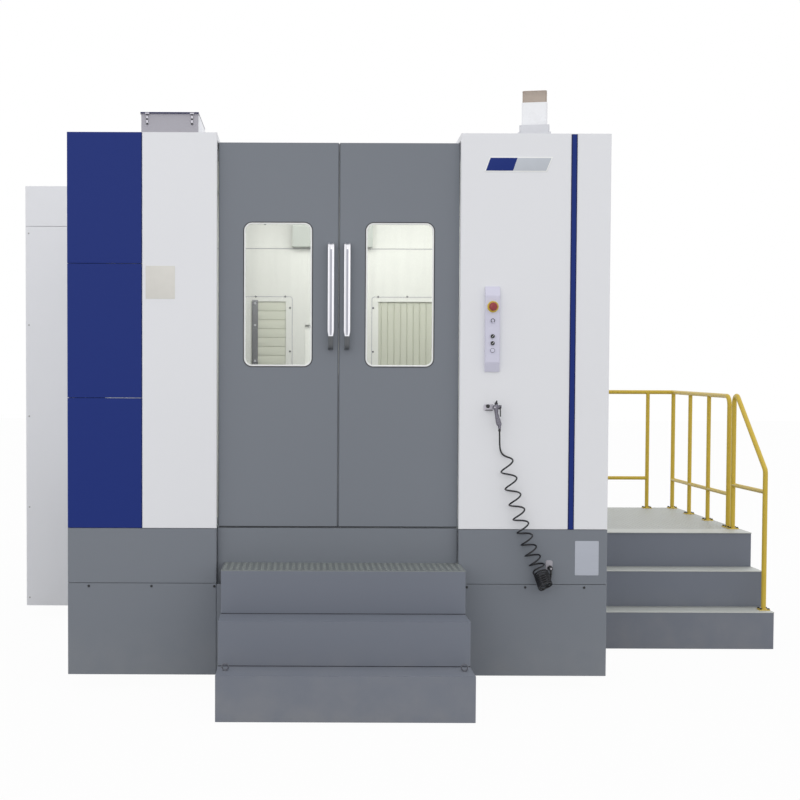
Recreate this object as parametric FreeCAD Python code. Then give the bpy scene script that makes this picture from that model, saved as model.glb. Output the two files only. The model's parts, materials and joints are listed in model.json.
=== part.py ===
import FreeCAD, Part
import math
import os

# A horizontal machining centre in its sheet-metal enclosure: bed, column, spindle head, saddle, table and
# rotary pallet inside; plinth, columns, sliding doors, access steps and a platform with guardrails outside.
# Millimetres. While it is modelled, X runs to the operator's right from the middle of the front, Y runs
# away from the operator from the front face of the columns, and Z is up from the floor.
# On export everything moves so that the origin is the middle of the footprint.

V = FreeCAD.Vector
X_AXIS = V(1, 0, 0)
Y_AXIS = V(0, 1, 0)
Z_AXIS = V(0, 0, 1)

# Two points closer than this count as one, and two directions with a larger cosine as parallel.
touching = 1e-6
parallel = 0.999

# ---- Driving dimensions ----
# Enclosure
machine_width = 3200.0
machine_depth = 3900.0
machine_top = 3290.0
door_top = 3240.0
sill_height = 960.0
plinth_seam_height = 630.0
plinth_bottom = 85.0
opening_width = 1434.0
sheet = 3.0
pipe_sides = 12
knob_sides = 20
nut_sides = 6
turned_sides = 36
edge_break = 4.0
panel_return = 40.0
panel_gap = 3.0
blue_panel_width = 439.0
blue_seam_upper = 2523.0
blue_seam_lower = 1731.0
stripe_left = 1364.0
stripe_width = 36.0
stripe_thickness = 2.0

# Sliding doors
door_setback = 50.0
door_depth = 38.0
door_gap = 8.0
meeting_x = 3.0
door_clearance = 8.0
window_width = 404.0
window_height = 850.0
window_top = 2770.0
window_middle_offset = 361.0
window_corner = 48.0
glass_thickness = 10.0
glass_margin = 22.0
handle_offset = 48.0
handle_width = 38.0
handle_height = 630.0
handle_bottom = 2020.0
handle_reach = 52.0
handle_thickness = 11.0
handle_bend = 34.0
handle_groove = 3.5

# Door track, a C-shaped rail open below, and the trolleys that hang the doors in it
track_width = 52.0
track_height = 50.0
track_wall = 5.0
track_slot = 18.0
track_setback = 8.0
track_drop = 95.0
trolley_length = 120.0
trolley_play = 2.0
trolley_inset = 110.0
trolley_neck = 10.0
hanger_drop = 20.0
hanger_thickness = 8.0

# Machining chamber
chamber_side_space = 200.0
chamber_back = 1900.0
chamber_floor = 690.0
wall_seam_height = 2798.0
wall_sheet = 5.0
port_inner = 337.0
port_width = 250.0
port_top = 2415.0
port_bottom = 1500.0
mesh_port_width = 465.0
cover_overlap = 30.0
slat_pitch = 65.0
slat_depth = 14.0
slat_strip = 46.0
rib_pitch = 46.5
rib_depth = 8.0
light_width = 580.0
light_height = 172.0
light_depth = 80.0
light_bottom = 2810.0
light_slope = 30.0
tray_drop = 170.0

# Bed, column and axes
bed_top = 650.0
bed_half_width = 600.0
bed_front = 350.0
bed_back = 3500.0
rear_bed_half_width = 1100.0
trough_front = 1850.0
trough_width = 130.0
trough_floor = 400.0
bed_taper = 60.0
rail_width = 60.0
rail_height = 50.0
rail_spread = 400.0
slide_clearance = 0.05
saddle_length = 700.0
saddle_half_width = 900.0
saddle_thickness = 145.0
saddle_y = 1070.0
cross_rail_spread = 230.0
table_length = 700.0
table_depth = 640.0
table_thickness = 130.0
bearing_radius = 140.0
bearing_depth = 25.0
pallet_size = 700.0
pallet_thickness = 90.0
pallet_corner = 60.0
pallet_lift = 4.0
pallet_bore = 25.0
pallet_hole = 8.0
pallet_hole_spacing = 160.0
pallet_hole_depth = 30.0
column_half_width = 480.0
column_front = 2160.0
column_foot_depth = 1150.0
column_head_depth = 760.0
column_top = 3080.0
column_window_half_width = 170.0
column_rail_spread = 330.0
head_height = 1700.0
head_travel = 350.0
head_half_width = 185.0
head_front = 1560.0
head_chamfer = 40.0
carriage_half_width = 410.0
carriage_half_height = 330.0
carriage_thickness = 110.0
apron_half_width = 300.0
apron_thickness = 5.0
apron_offset = 15.0
slot_clearance = 12.0
spindle_radius = 62.0
spindle_flange_radius = 110.0
spindle_flange_depth = 35.0
spindle_length = 300.0
spindle_taper_mouth = 35.0
spindle_taper_end = 20.0
spindle_taper_length = 100.0
drive_key = 25.0

# Levelling feet
foot_size = 120.0
foot_pad = 22.0
foot_stud_radius = 24.0
foot_inset = 120.0
front_foot_setback = 480.0

# Square-tube frame that carries the sheets
frame_tube = 50.0

# Tool magazine guard, beside the machine on the left
magazine_width = 740.0
magazine_front = 2420.0
magazine_depth = 1360.0
magazine_bottom = 98.0
magazine_top = 3320.0
magazine_seam = 3013.0

# Steps in front
riser_height = 250.0
tread_depth = 250.0
front_step_width = 1400.0
front_step_middle = 27.0
front_landing_depth = 297.0
tread_plate = 5.0
wall_clearance = 4.0
eye_ring_radius = 17.0
eye_wire_radius = 4.5
eye_inset = 47.0
eye_setback = 117.0
eye_wire_sides = 6

# Platform on the right
platform_width = 1441.0
platform_front = 1780.0
platform_back = 3780.0
step_count = 3
pipe_radius = 17.0
post_radius = 16.0
middle_rail_radius = 15.0
rail_height_top = 1005.0
rail_height_middle = 268.0
rail_inset = 50.0
back_rail_inset = 60.0
pipe_bend = 70.0
post_plate = 95.0
post_plate_thickness = 8.0
side_post_pitch = 518.0
back_post_spacing = 250.0
stair_post_gap = 113.0
stair_foot_post = 110.0
stair_rail_height = 972.0
stair_middle_rail = 835.0

# Service door in the right side wall, above the platform
service_width = 800.0
service_height = 1900.0
service_front = 1960.0
service_sill = 60.0
service_overlap = 20.0
service_depth = 30.0
hinge_radius = 9.0
hinge_pin_radius = 5.0
hinge_length = 110.0
hinge_offset = 14.0
hinge_inset = 250.0
pin_clearance = 0.1
latch_height = 950.0
latch_width = 28.0
latch_length = 130.0
latch_reach = 45.0

# On the roof
roof_box_left = -1203.0
roof_box_width = 355.0
roof_box_depth = 520.0
roof_box_height = 175.0
roof_box_front = 300.0
roof_box_lid = 12.0
lamp_middle = 1209.0
lamp_front = 300.0
lamp_size = 154.0
lamp_base_size = 181.0
lamp_base_height = 106.0
lamp_body_height = 138.0
lamp_lens_height = 71.0
lamp_corner = 9.0
lamp_foot_size = 200.0
lamp_block_height = 45.0
lamp_turn = 10.5

# Control strip on the right column
strip_middle = 906.0
strip_width = 86.0
strip_bottom = 1892.0
strip_foot_height = 125.0
white_to_lower_selector = 42.0
selector_spacing = 41.0
selector_to_ring = 92.0
ring_to_stop = 81.0
strip_head_height = 120.0
strip_depth = 30.0
strip_bevel = 55.0
strip_end_depth = 8.0
stop_collar_radius = 33.0
stop_collar_thickness = 5.0
stop_radius = 28.0
stop_dome_radius = 19.0
stop_stem_radius = 11.0
stop_neck = 17.0
stop_travel = 6.0
ring_button_radius = 13.0
selector_radius = 12.0
white_button_radius = 11.0
bezel_rim = 3.5
bezel_height = 3.0
button_stand = 3.5
button_travel = 3.0
button_depth = 16.0
button_clearance = 0.15
selector_bar = 5.0
selector_reach = 9.0
selector_rest = 40.0

# Air gun on its hook, curly hose and wall fitting
gun_x = 947.0
gun_y = -60.0
gun_bottom = 1557.0
gun_grip_length = 92.0
gun_grip_width = 24.0
gun_grip_taper = 8.0
gun_head_height = 46.0
gun_head_depth = 34.0
gun_nozzle_radius = 5.0
gun_nozzle_length = 29.0
gun_nozzle_lean = 12.0
gun_trigger_length = 60.0
gun_trigger_thickness = 7.0
gun_trigger_gap = 9.0
gun_pin_radius = 2.5
hook_left = 860.0
hook_width = 60.0
hook_height = 37.0
hook_bottom = 1662.0
hook_plate = 6.0
hook_arm = 8.0
hook_knob_radius = 12.0
hook_knob_length = 18.0
hook_knob_aside = 7.0
hook_knob_rise = 4.0
hose_radius = 5.0
hose_sides = 6
coil_radius = 41.0
coil_gap_to_wall = 8.0
coil_start_x = 986.0
coil_start_z = 1387.0
stretched_turns = 9
stretched_step = 23.4
first_pitch = 110.0
last_pitch = 42.0
tight_turns = 7
tight_pitch = 14.0
tight_lean = 0.65
tight_side = 0.2
arcs_per_turn = 4
hose_lead_point = (954.0, -60.0, 1475.5)
hose_lead_run = (0.22, 0.06, -1)
hose_tail_point = (1270.0, -62.0, 628.0)
hose_tail_run = (0.3, 0.3, 0.9)
report_samples = 9
report_skip = 6
fitting_x = 1260.0
fitting_z = 729.0
fitting_reach = 40.0
fitting_radius = 9.0
fitting_nut_radius = 15.0
fitting_nipple_radius = 6.5
fitting_nipple = 20.0
fitting_plate_width = 34.0
fitting_plate_height = 62.0
fitting_plate_thickness = 6.0

# ---- Places worked out from them ----
half_width = machine_width / 2
chamber_half_width = half_width - chamber_side_space
opening_half = opening_width / 2
door_back = door_setback + door_depth
chamber_front = door_back + track_setback + track_width
chamber_top = door_top - panel_return
door_width = opening_half - abs(meeting_x) - door_gap / 2
door_bottom = sill_height + door_clearance
platform_height = step_count * riser_height
platform_right = half_width + platform_width
magazine_left = -half_width - magazine_width
front_step_front = -front_landing_depth - (step_count - 1) * tread_depth
footprint_x = (magazine_left + platform_right) / 2
footprint_y = (front_step_front + machine_depth) / 2
head_apron_y = chamber_back + apron_offset
carriage_back = column_front - rail_height
saddle_bottom = bed_top + slide_clearance
cross_rail_base = saddle_bottom + rail_height + saddle_thickness
table_bottom = cross_rail_base + slide_clearance
table_top = table_bottom + rail_height + table_thickness
pallet_bottom = table_top + pallet_lift
slot_half_width = head_half_width + slot_clearance
slot_bottom = head_height - head_travel - slot_half_width
slot_top = head_height + head_travel + slot_half_width
strip_face = -strip_depth
white_button_height = strip_bottom + strip_foot_height
selector_lower_height = white_button_height + white_to_lower_selector
selector_upper_height = selector_lower_height + selector_spacing
ring_button_height = selector_upper_height + selector_to_ring
stop_height = ring_button_height + ring_to_stop
strip_height = stop_height + strip_head_height - strip_bottom
deck_bottom = platform_height - tread_plate
rail_x = platform_right - rail_inset
back_rail_y = platform_back - back_rail_inset
splice_y = back_rail_y - pipe_radius
doorway_bottom = sill_height + service_sill


# ---- Basic forms ----
def block(x0, x1, y0, y1, z0, z1):
    return Part.makeBox(x1 - x0, y1 - y0, z1 - z0, V(x0, y0, z0))


def prism(points, sweep):
    """A straight prism: the closed outline through the points, carried along the vector."""
    wire = Part.makePolygon(points + points[:1])
    return Part.Face(wire).extrude(sweep)


def prism_x(outline, x0, x1):
    """A prism along X from an outline of (y, z) pairs."""
    return prism([V(x0, y, z) for y, z in outline], X_AXIS * (x1 - x0))


def prism_y(outline, y0, y1):
    """A prism along Y from an outline of (x, z) pairs."""
    return prism([V(x, y0, z) for x, z in outline], Y_AXIS * (y1 - y0))


def prism_z(outline, z0, z1):
    """A prism along Z from an outline of (x, y) pairs."""
    return prism([V(x, y, z0) for x, y in outline], Z_AXIS * (z1 - z0))


def rod(radius, start, end):
    """A round bar or hole between two points."""
    axis = end - start
    return Part.makeCylinder(radius, axis.Length, start, axis)


def ring_points(radius, centre, axis, sides):
    """Evenly spaced points on a circle round the axis."""
    turn = FreeCAD.Rotation(Z_AXIS, axis)
    step = 2 * math.pi / sides
    return [centre + turn.multVec(V(radius * math.cos(i * step), radius * math.sin(i * step), 0))
            for i in range(sides)]


def bar(radius, start, end, sides):
    """A bar of many flat sides, which keeps pipes and small round pieces light."""
    return prism(ring_points(radius, start, end - start, sides), end - start)


def turned(profile, base, axis, sides):
    """A turned piece in flat facets: the closed outline of (radius, height) pairs, stepped round the axis."""
    rings = [ring_points(r, base + axis * h, axis, sides) if r else [base + axis * h] * sides
             for r, h in profile]
    faces = []
    for low, high in zip(rings, rings[1:] + rings[:1]):
        for i in range(sides):
            corners = [low[i], low[i - 1], high[i - 1], high[i]]
            corners = [c for n, c in enumerate(corners) if (c - corners[n - 1]).Length > touching]
            if len(corners) > 2:
                faces.append(Part.Face(Part.makePolygon(corners + corners[:1])))
    solid = Part.Solid(Part.Shell(faces))
    if solid.Volume < 0:
        solid.reverse()
    return solid.removeSplitter()


def rounded_plate(x0, x1, y0, y1, z0, z1, radius):
    """A plate that faces along Y, with its four corners rounded."""
    plate = block(x0, x1, y0, y1, z0, z1)
    return plate.makeFillet(radius, [e for e in plate.Edges if along(e, Y_AXIS)])


def along(edge, axis):
    """Whether a straight edge runs along the axis."""
    return abs(edge.tangentAt(edge.FirstParameter).dot(axis)) > parallel


def fused(shapes):
    """One clean solid from pieces that overlap or touch."""
    return shapes[0].fuse(shapes[1:]).removeSplitter()


def group(shapes):
    return Part.makeCompound(shapes)


def fitted(pieces):
    """Pieces that stay separate, each cut to fit against those before it."""
    placed = []
    for piece in pieces:
        for other in placed:
            if piece.BoundBox.intersect(other.BoundBox):
                piece = piece.cut(other)
        placed.append(piece)
    return group(placed)


def mirrored(shape, x=0.0):
    """The same shape on the other side of the plane X = x."""
    return shape.mirror(V(x, 0, 0), X_AXIS)


def on_plane(edge, axis, value):
    """Whether an edge lies in the plane at this value along the axis."""
    box = edge.BoundBox
    low = V(box.XMin, box.YMin, box.ZMin).dot(axis)
    high = V(box.XMax, box.YMax, box.ZMax).dot(axis)
    return abs(low - value) < touching and abs(high - value) < touching


def pan(x0, x1, y0, y1, z0, z1, facing):
    """A folded sheet pan: a flat face towards `facing` with two bent edges, four returns, an open back."""
    outer = block(x0, x1, y0, y1, z0, z1)
    axis = V(abs(facing.x), abs(facing.y), abs(facing.z))
    face_at = {1: V(x1, y1, z1), -1: V(x0, y0, z0)}[1 if facing.dot(axis) > 0 else -1].dot(axis)
    lengthwise = Y_AXIS if axis.z else Z_AXIS
    face_edges = [e for e in outer.Edges if on_plane(e, axis, face_at) and along(e, lengthwise)]
    outer = outer.makeChamfer(edge_break, face_edges)
    low = V(x0 + sheet, y0 + sheet, z0 + sheet)
    high = V(x1 - sheet, y1 - sheet, z1 - sheet)
    reach_low = V(min(facing.x, 0), min(facing.y, 0), min(facing.z, 0))
    reach_high = V(max(facing.x, 0), max(facing.y, 0), max(facing.z, 0))
    high = high - reach_low * (2 * sheet)
    low = low - reach_high * (2 * sheet)
    inner = block(low.x, high.x, low.y, high.y, low.z, high.z)
    return outer.cut(inner)


def hollow_box(x0, x1, y0, y1, z0, z1):
    """A closed welded box of sheet with bent upright edges."""
    outer = block(x0, x1, y0, y1, z0, z1)
    outer = outer.makeChamfer(edge_break, [e for e in outer.Edges if along(e, Z_AXIS)])
    inner = block(x0 + sheet, x1 - sheet, y0 + sheet, y1 - sheet, z0 + sheet, z1 - sheet)
    return outer.cut(inner)


# ---- Bed, feet, column ----
def machine_bed():
    """A T-shaped casting with tapered feet, a cross trough before the column, and two rails along Y."""
    def casting(half, y0, y1):
        outline = [(-half, plinth_bottom), (half, plinth_bottom), (half, bed_top - bed_taper),
                   (half - bed_taper, bed_top), (-half + bed_taper, bed_top), (-half, bed_top - bed_taper)]
        return prism_y(outline, y0, y1)

    trough_back = trough_front + trough_width
    body = casting(bed_half_width, bed_front, trough_back)
    body = body.fuse(casting(rear_bed_half_width, trough_back, bed_back))
    trough = block(-machine_width, machine_width, trough_front, trough_back, trough_floor, machine_top)
    body = body.cut(trough)
    rails = [block(x - rail_width / 2, x + rail_width / 2, bed_front, trough_front,
                   bed_top - rail_height, bed_top + rail_height) for x in (-rail_spread, rail_spread)]
    return fused([body] + rails)


def levelling_feet():
    """Pads with hexagon studs under the bed and under the frame's two bottom rails, well behind the front plinth."""
    frame_x = half_width - panel_return - frame_tube / 2
    places = [(bed_half_width - foot_inset, bed_front + foot_inset),
              (rear_bed_half_width - foot_inset, trough_front + trough_width + foot_inset),
              (rear_bed_half_width - foot_inset, bed_back - foot_inset),
              (frame_x, front_foot_setback),
              (frame_x, machine_depth - panel_return - frame_tube / 2)]
    half = foot_size / 2
    feet = []
    for x, y in places:
        pad = block(x - half, x + half, y - half, y + half, 0, foot_pad)
        stud = bar(foot_stud_radius, V(x, y, foot_pad), V(x, y, plinth_bottom), nut_sides)
        foot = fused([pad, stud])
        feet += [foot, mirrored(foot)]
    return group(feet)


def enclosure_frame():
    """The square-tube frame behind the sheets: four posts, two bottom rails, and rings at the sill and at the top."""
    t = frame_tube
    x1 = half_width - panel_return
    x0 = x1 - t
    y0 = door_setback + panel_return
    y1 = machine_depth - panel_return
    bars = []
    for side in (1, -1):
        for y in (y0, y1 - t):
            post_bar = block(x0, x1, y, y + t, plinth_bottom, machine_top - panel_return)
            bars.append(post_bar if side > 0 else mirrored(post_bar))
        for top in (plinth_bottom + t, sill_height + t / 2, machine_top - panel_return):
            rail = block(x0, x1, y0 + t, y1 - t, top - t, top)
            bars.append(rail if side > 0 else mirrored(rail))
    for y, top in ((y0, sill_height - panel_return - t), (y1 - t, sill_height + t / 2),
                   (y1 - t, door_top - panel_return)):
        bars.append(block(-x0, x0, y, y + t, top - t, top))
    return group(bars)


def column():
    """A cast column that narrows towards its top, open in the middle, with two rails on its front."""
    outline = [(column_front, bed_top), (column_front + column_foot_depth, bed_top),
               (column_front + column_head_depth, column_top), (column_front, column_top)]
    body = prism_x(outline, -column_half_width, column_half_width)
    window = block(-column_window_half_width, column_window_half_width, column_front - rail_height,
                   machine_depth, slot_bottom, slot_top)
    body = body.cut(window)
    rails = [block(x - rail_width / 2, x + rail_width / 2, carriage_back, column_front,
                   bed_top, column_top) for x in (-column_rail_spread, column_rail_spread)]
    return fused([body] + rails)


# ---- Moving axes ----
def shoe_cuts(spread, z0, along_x, reach):
    """The grooves of a slide that straddles two rails, with the running clearance all round."""
    width = rail_width / 2 + slide_clearance
    top = z0 + rail_height + slide_clearance
    cuts = []
    for side in (-spread, spread):
        if along_x:
            cuts.append(block(-reach, reach, side - width, side + width, z0 - edge_break, top))
        else:
            cuts.append(block(side - width, side + width, -reach, reach, z0 - edge_break, top))
    return cuts


def saddle():
    """The saddle runs front to back on the bed and carries two rails across."""
    z1 = cross_rail_base
    y0 = saddle_y - saddle_length / 2
    y1 = saddle_y + saddle_length / 2
    outline = [(-bed_half_width, saddle_bottom), (bed_half_width, saddle_bottom),
               (saddle_half_width, z1 - saddle_thickness / 2), (saddle_half_width, z1),
               (-saddle_half_width, z1), (-saddle_half_width, z1 - saddle_thickness / 2)]
    body = prism_y(outline, y0, y1)
    for cut in shoe_cuts(rail_spread, saddle_bottom, False, machine_depth):
        body = body.cut(cut)
    rails = [block(-saddle_half_width, saddle_half_width, saddle_y + y - rail_width / 2,
                   saddle_y + y + rail_width / 2, z1 - rail_height, z1 + rail_height)
             for y in (-cross_rail_spread, cross_rail_spread)]
    return fused([body] + rails)


def table():
    """The table runs left and right on the saddle and holds the pallet's bearing."""
    body = block(-table_length / 2, table_length / 2, saddle_y - table_depth / 2,
                 saddle_y + table_depth / 2, table_bottom, table_top)
    body = body.makeChamfer(foot_pad, [e for e in body.Edges if along(e, Z_AXIS)])
    for cut in shoe_cuts(cross_rail_spread, table_bottom, True, machine_width):
        body = body.cut(cut.translated(V(0, saddle_y, 0)))
    seat = Part.makeCylinder(bearing_radius, bearing_depth + pallet_lift,
                             V(0, saddle_y, table_top - bearing_depth))
    return body.cut(seat)


def pallet():
    """A square pallet with cut corners, a centre bore, tapped holes and a round spigot below."""
    half = pallet_size / 2
    flat = half - pallet_corner
    outline = [(-half, -flat), (-flat, -half), (flat, -half), (half, -flat),
               (half, flat), (flat, half), (-flat, half), (-half, flat)]
    top = pallet_bottom + pallet_thickness
    body = prism_z(outline, pallet_bottom, top)
    spigot_bottom = table_top - bearing_depth + slide_clearance
    spigot = Part.makeCylinder(bearing_radius - slide_clearance, pallet_bottom - spigot_bottom,
                               V(0, 0, spigot_bottom))
    body = body.fuse(spigot)
    bore = Part.makeCylinder(pallet_bore, pallet_thickness * 2, V(0, 0, top - pallet_thickness / 2))
    body = body.cut(bore)
    for column_index in (-1, 1):
        for row_index in (-1, 1):
            place = V(column_index * pallet_hole_spacing, row_index * pallet_hole_spacing,
                      top - pallet_hole_depth)
            body = body.cut(Part.makeCylinder(pallet_hole, pallet_thickness, place))
    return body.translated(V(0, saddle_y, 0))


def spindle_head():
    """The head with its carriage on the column's rails; the spindle runs in its bore."""
    c = head_chamfer
    w = head_half_width
    section = [(-w, -w + c), (-w + c, -w), (w - c, -w), (w, -w + c),
               (w, w - c), (w - c, w), (-w + c, w), (-w, w - c)]
    quill = prism_y([(x, head_height + z) for x, z in section], head_front, carriage_back)
    carriage = block(-carriage_half_width, carriage_half_width, carriage_back - carriage_thickness,
                     column_front - slide_clearance, head_height - carriage_half_height,
                     head_height + carriage_half_height)
    body = quill.fuse(carriage)
    for side in (-column_rail_spread, column_rail_spread):
        grip = rail_width / 2 + slide_clearance
        body = body.cut(block(side - grip, side + grip, carriage_back - slide_clearance,
                              column_front + rail_height, bed_top, column_top))
    bore = Part.makeCylinder(spindle_radius + slide_clearance, spindle_length,
                             V(0, head_front, head_height), Y_AXIS)
    return body.cut(bore).removeSplitter()


def head_apron():
    """The sheet that moves with the head and closes the slot in the chamber's back wall."""
    half = (slot_top - slot_bottom) / 2 + head_travel + slot_clearance
    apron = block(-apron_half_width, apron_half_width, head_apron_y, head_apron_y + apron_thickness,
                  head_height - half, head_height + half)
    return apron.cut(spindle_head())


def spindle():
    """The spindle: nose flange with two drive keys, tapered tool socket, shaft."""
    length = spindle_length - slide_clearance
    profile = [(spindle_taper_mouth, -spindle_flange_depth), (spindle_flange_radius, -spindle_flange_depth),
               (spindle_flange_radius, -wall_clearance), (spindle_radius, -wall_clearance),
               (spindle_radius, length), (0, length),
               (0, spindle_taper_length - spindle_flange_depth),
               (spindle_taper_end, spindle_taper_length - spindle_flange_depth)]
    body = turned(profile, V(0, head_front, head_height), Y_AXIS, turned_sides)
    keys = []
    for side in (-1, 1):
        x = side * (spindle_taper_mouth + spindle_flange_radius) / 2
        keys.append(block(x - drive_key / 2, x + drive_key / 2,
                          head_front - spindle_flange_depth - wall_clearance,
                          head_front - spindle_flange_depth + wall_clearance,
                          head_height - drive_key / 2, head_height + drive_key / 2))
    return fused([body] + keys)


# ---- Enclosure ----
def front_pan(x0, x1, z0, z1):
    return pan(x0, x1, 0, panel_return, z0, z1, V(0, -1, 0))


def blue_panels():
    """Three pans, one above the other, on the left corner."""
    x0 = -half_width
    x1 = x0 + blue_panel_width
    levels = (sill_height, blue_seam_lower, blue_seam_upper, machine_top + panel_gap)
    return group([front_pan(x0, x1, low, high - panel_gap) for low, high in zip(levels, levels[1:])])


def left_front_panel():
    return front_pan(-half_width + blue_panel_width + panel_gap, -opening_half, sill_height, machine_top)


def right_front_panel():
    return front_pan(opening_half, half_width, sill_height, machine_top)


def blue_stripe():
    return block(stripe_left, stripe_left + stripe_width, -stripe_thickness, 0,
                 sill_height, machine_top - edge_break)


def plinth_panels():
    """Plinth pans: upper and lower ones under the front columns, one along each side behind them."""
    pans = []
    for x0, x1 in ((-half_width, -opening_half), (opening_half, half_width)):
        pans.append(front_pan(x0, x1, plinth_seam_height + panel_gap, sill_height - panel_gap))
        pans.append(front_pan(x0, x1, plinth_bottom, plinth_seam_height))
    y0 = panel_return
    y1 = machine_depth - panel_return
    left = pan(-half_width, -half_width + panel_return, y0, y1, plinth_bottom, sill_height - panel_gap,
               V(-1, 0, 0))
    return group(pans + [left, mirrored(left)])


def door_apron():
    """The lower front between the columns: a pan, with a sill flange and an upstand behind the doors."""
    top = sill_height - panel_gap
    body = pan(-opening_half, opening_half, door_setback, door_setback + panel_return,
               plinth_bottom, top, V(0, -1, 0))
    flange = block(-opening_half, opening_half, door_setback + edge_break, chamber_front, top - sheet, top)
    upstand = block(-opening_half, opening_half, chamber_front - sheet, chamber_front,
                    top - sheet, top + panel_return)
    return fitted([body, flange, upstand])


def track_outline():
    """The C-shaped section of the door track as (y, z) pairs."""
    y0 = door_back + track_setback
    y1 = y0 + track_width
    z1 = door_top - track_drop + track_height
    z0 = z1 - track_height
    middle = (y0 + y1) / 2
    s = track_slot / 2
    w = track_wall
    return [(y0, z0), (middle - s, z0), (middle - s, z0 + w), (y0 + w, z0 + w), (y0 + w, z1 - w),
            (y1 - w, z1 - w), (y1 - w, z0 + w), (middle + s, z0 + w), (middle + s, z0), (y1, z0),
            (y1, z1), (y0, z1)]


def door_track():
    return prism_x(track_outline(), -chamber_half_width, chamber_half_width)


def side_wall():
    """The left side wall above the plinth, as one pan."""
    return pan(-half_width, -half_width + panel_return, panel_return, machine_depth - panel_return,
               sill_height, machine_top - panel_return, V(-1, 0, 0))


def right_side_wall():
    """The right side wall with the service doorway and the fixed halves of its two hinges."""
    wall = mirrored(side_wall())
    z0 = doorway_bottom
    way = block(half_width - panel_return - sheet, half_width + sheet, service_front,
                service_front + service_width, z0, z0 + service_height)
    knuckles = [hinge_knuckle(z, False) for z in hinge_heights()]
    return fused([wall.cut(way)] + knuckles)


def rear_wall():
    return pan(-half_width, half_width, machine_depth - panel_return, machine_depth,
               plinth_bottom, machine_top - panel_return, V(0, 1, 0))


def roof_panels():
    """Roof covers over the left side, the middle and the right side."""
    z1 = machine_top
    z0 = machine_top - panel_return + panel_gap
    y1 = machine_depth
    side = pan(-half_width, -opening_half, panel_return + panel_gap, y1, z0, z1, Z_AXIS)
    middle = pan(-opening_half + panel_gap, opening_half - panel_gap, chamber_front, y1 - sheet,
                 chamber_top, door_top, Z_AXIS)
    return group([side, middle, mirrored(side)])


def sheets_around(x0, x1, y0, y1, z0, z1, openings):
    """A wall of plain sheets that leaves these openings: upright strips, split below and above each one."""
    sheets = []
    left = x0
    for open_left, open_right, low, high in openings:
        sheets.append(block(left, open_left, y0, y1, z0, z1))
        sheets.append(block(open_left, open_right, y0, y1, z0, low))
        sheets.append(block(open_left, open_right, y0, y1, high, z1))
        left = open_right
    sheets.append(block(left, x1, y0, y1, z0, z1))
    return sheets


def chamber_back_wall():
    """The back wall, with the head's slot and two ports that the covers close."""
    y0 = chamber_back - wall_sheet
    openings = [(-port_inner - port_width, -port_inner, port_bottom, port_top),
                (-slot_half_width, slot_half_width, slot_bottom, slot_top),
                (port_inner, port_inner + mesh_port_width, port_bottom, port_top)]
    lower = sheets_around(-chamber_half_width, chamber_half_width, y0, chamber_back,
                          chamber_floor, wall_seam_height, openings)
    upper = block(-chamber_half_width, chamber_half_width, y0, chamber_back,
                  wall_seam_height + panel_gap, chamber_top)
    return group(lower + [upper])


def chamber_liner():
    """Side walls and ceiling of the machining chamber."""
    y1 = chamber_back - wall_sheet
    left = block(-chamber_half_width, -chamber_half_width + wall_sheet, chamber_front, y1,
                 chamber_floor, chamber_top)
    ceiling = block(-chamber_half_width + wall_sheet, chamber_half_width - wall_sheet, chamber_front, y1,
                    chamber_top - wall_sheet, chamber_top)
    return group([left, mirrored(left), ceiling])


def chip_trays():
    """Two sloping sheets that lead chips from the side walls to the bed."""
    outline = [(-chamber_half_width + wall_sheet, chamber_floor),
               (-bed_half_width - panel_gap, chamber_floor - tray_drop),
               (-bed_half_width - panel_gap, chamber_floor - tray_drop - wall_sheet),
               (-chamber_half_width + wall_sheet, chamber_floor - wall_sheet)]
    tray = prism_y(outline, chamber_front, trough_front)
    return group([tray, mirrored(tray)])


def cover_frame(x0, x1):
    """The flat frame of a cover behind the wall, larger than its port all round."""
    return block(x0 - cover_overlap, x1 + cover_overlap, chamber_back, chamber_back + wall_sheet,
                 port_bottom - cover_overlap, port_top + cover_overlap)


def slat_cover():
    """The slatted cover: blades that lean, one above the other, beside a flat strip."""
    x0 = -port_inner - port_width
    x1 = -port_inner
    blade_x0 = x0 + slat_strip
    y0 = chamber_back + wall_sheet
    frame = cover_frame(x0, x1)
    hole = block(blade_x0, x1, chamber_back - sheet, y0 + sheet, port_bottom, port_top)
    frame = frame.cut(hole)
    count = int((port_top - port_bottom) / slat_pitch)
    blades = []
    for i in range(count):
        z0 = port_top - (i + 1) * slat_pitch
        outline = [(chamber_back, z0), (chamber_back + sheet, z0),
                   (chamber_back + slat_depth + sheet, z0 + slat_pitch + sheet),
                   (chamber_back + slat_depth, z0 + slat_pitch + sheet)]
        blades.append(prism_x(outline, blade_x0 - edge_break, x1 + edge_break))
    y1 = chamber_back + slat_depth + wall_sheet
    z0 = port_bottom - edge_break
    z1 = port_top + edge_break
    backing = block(blade_x0 - edge_break, x1 + edge_break, chamber_back + slat_depth, y1, z0, z1)
    sides = [block(x - edge_break, x, y0, y1, z0, z1) for x in (blade_x0, x1 + edge_break)]
    return fused([frame, backing] + sides + blades)


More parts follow.
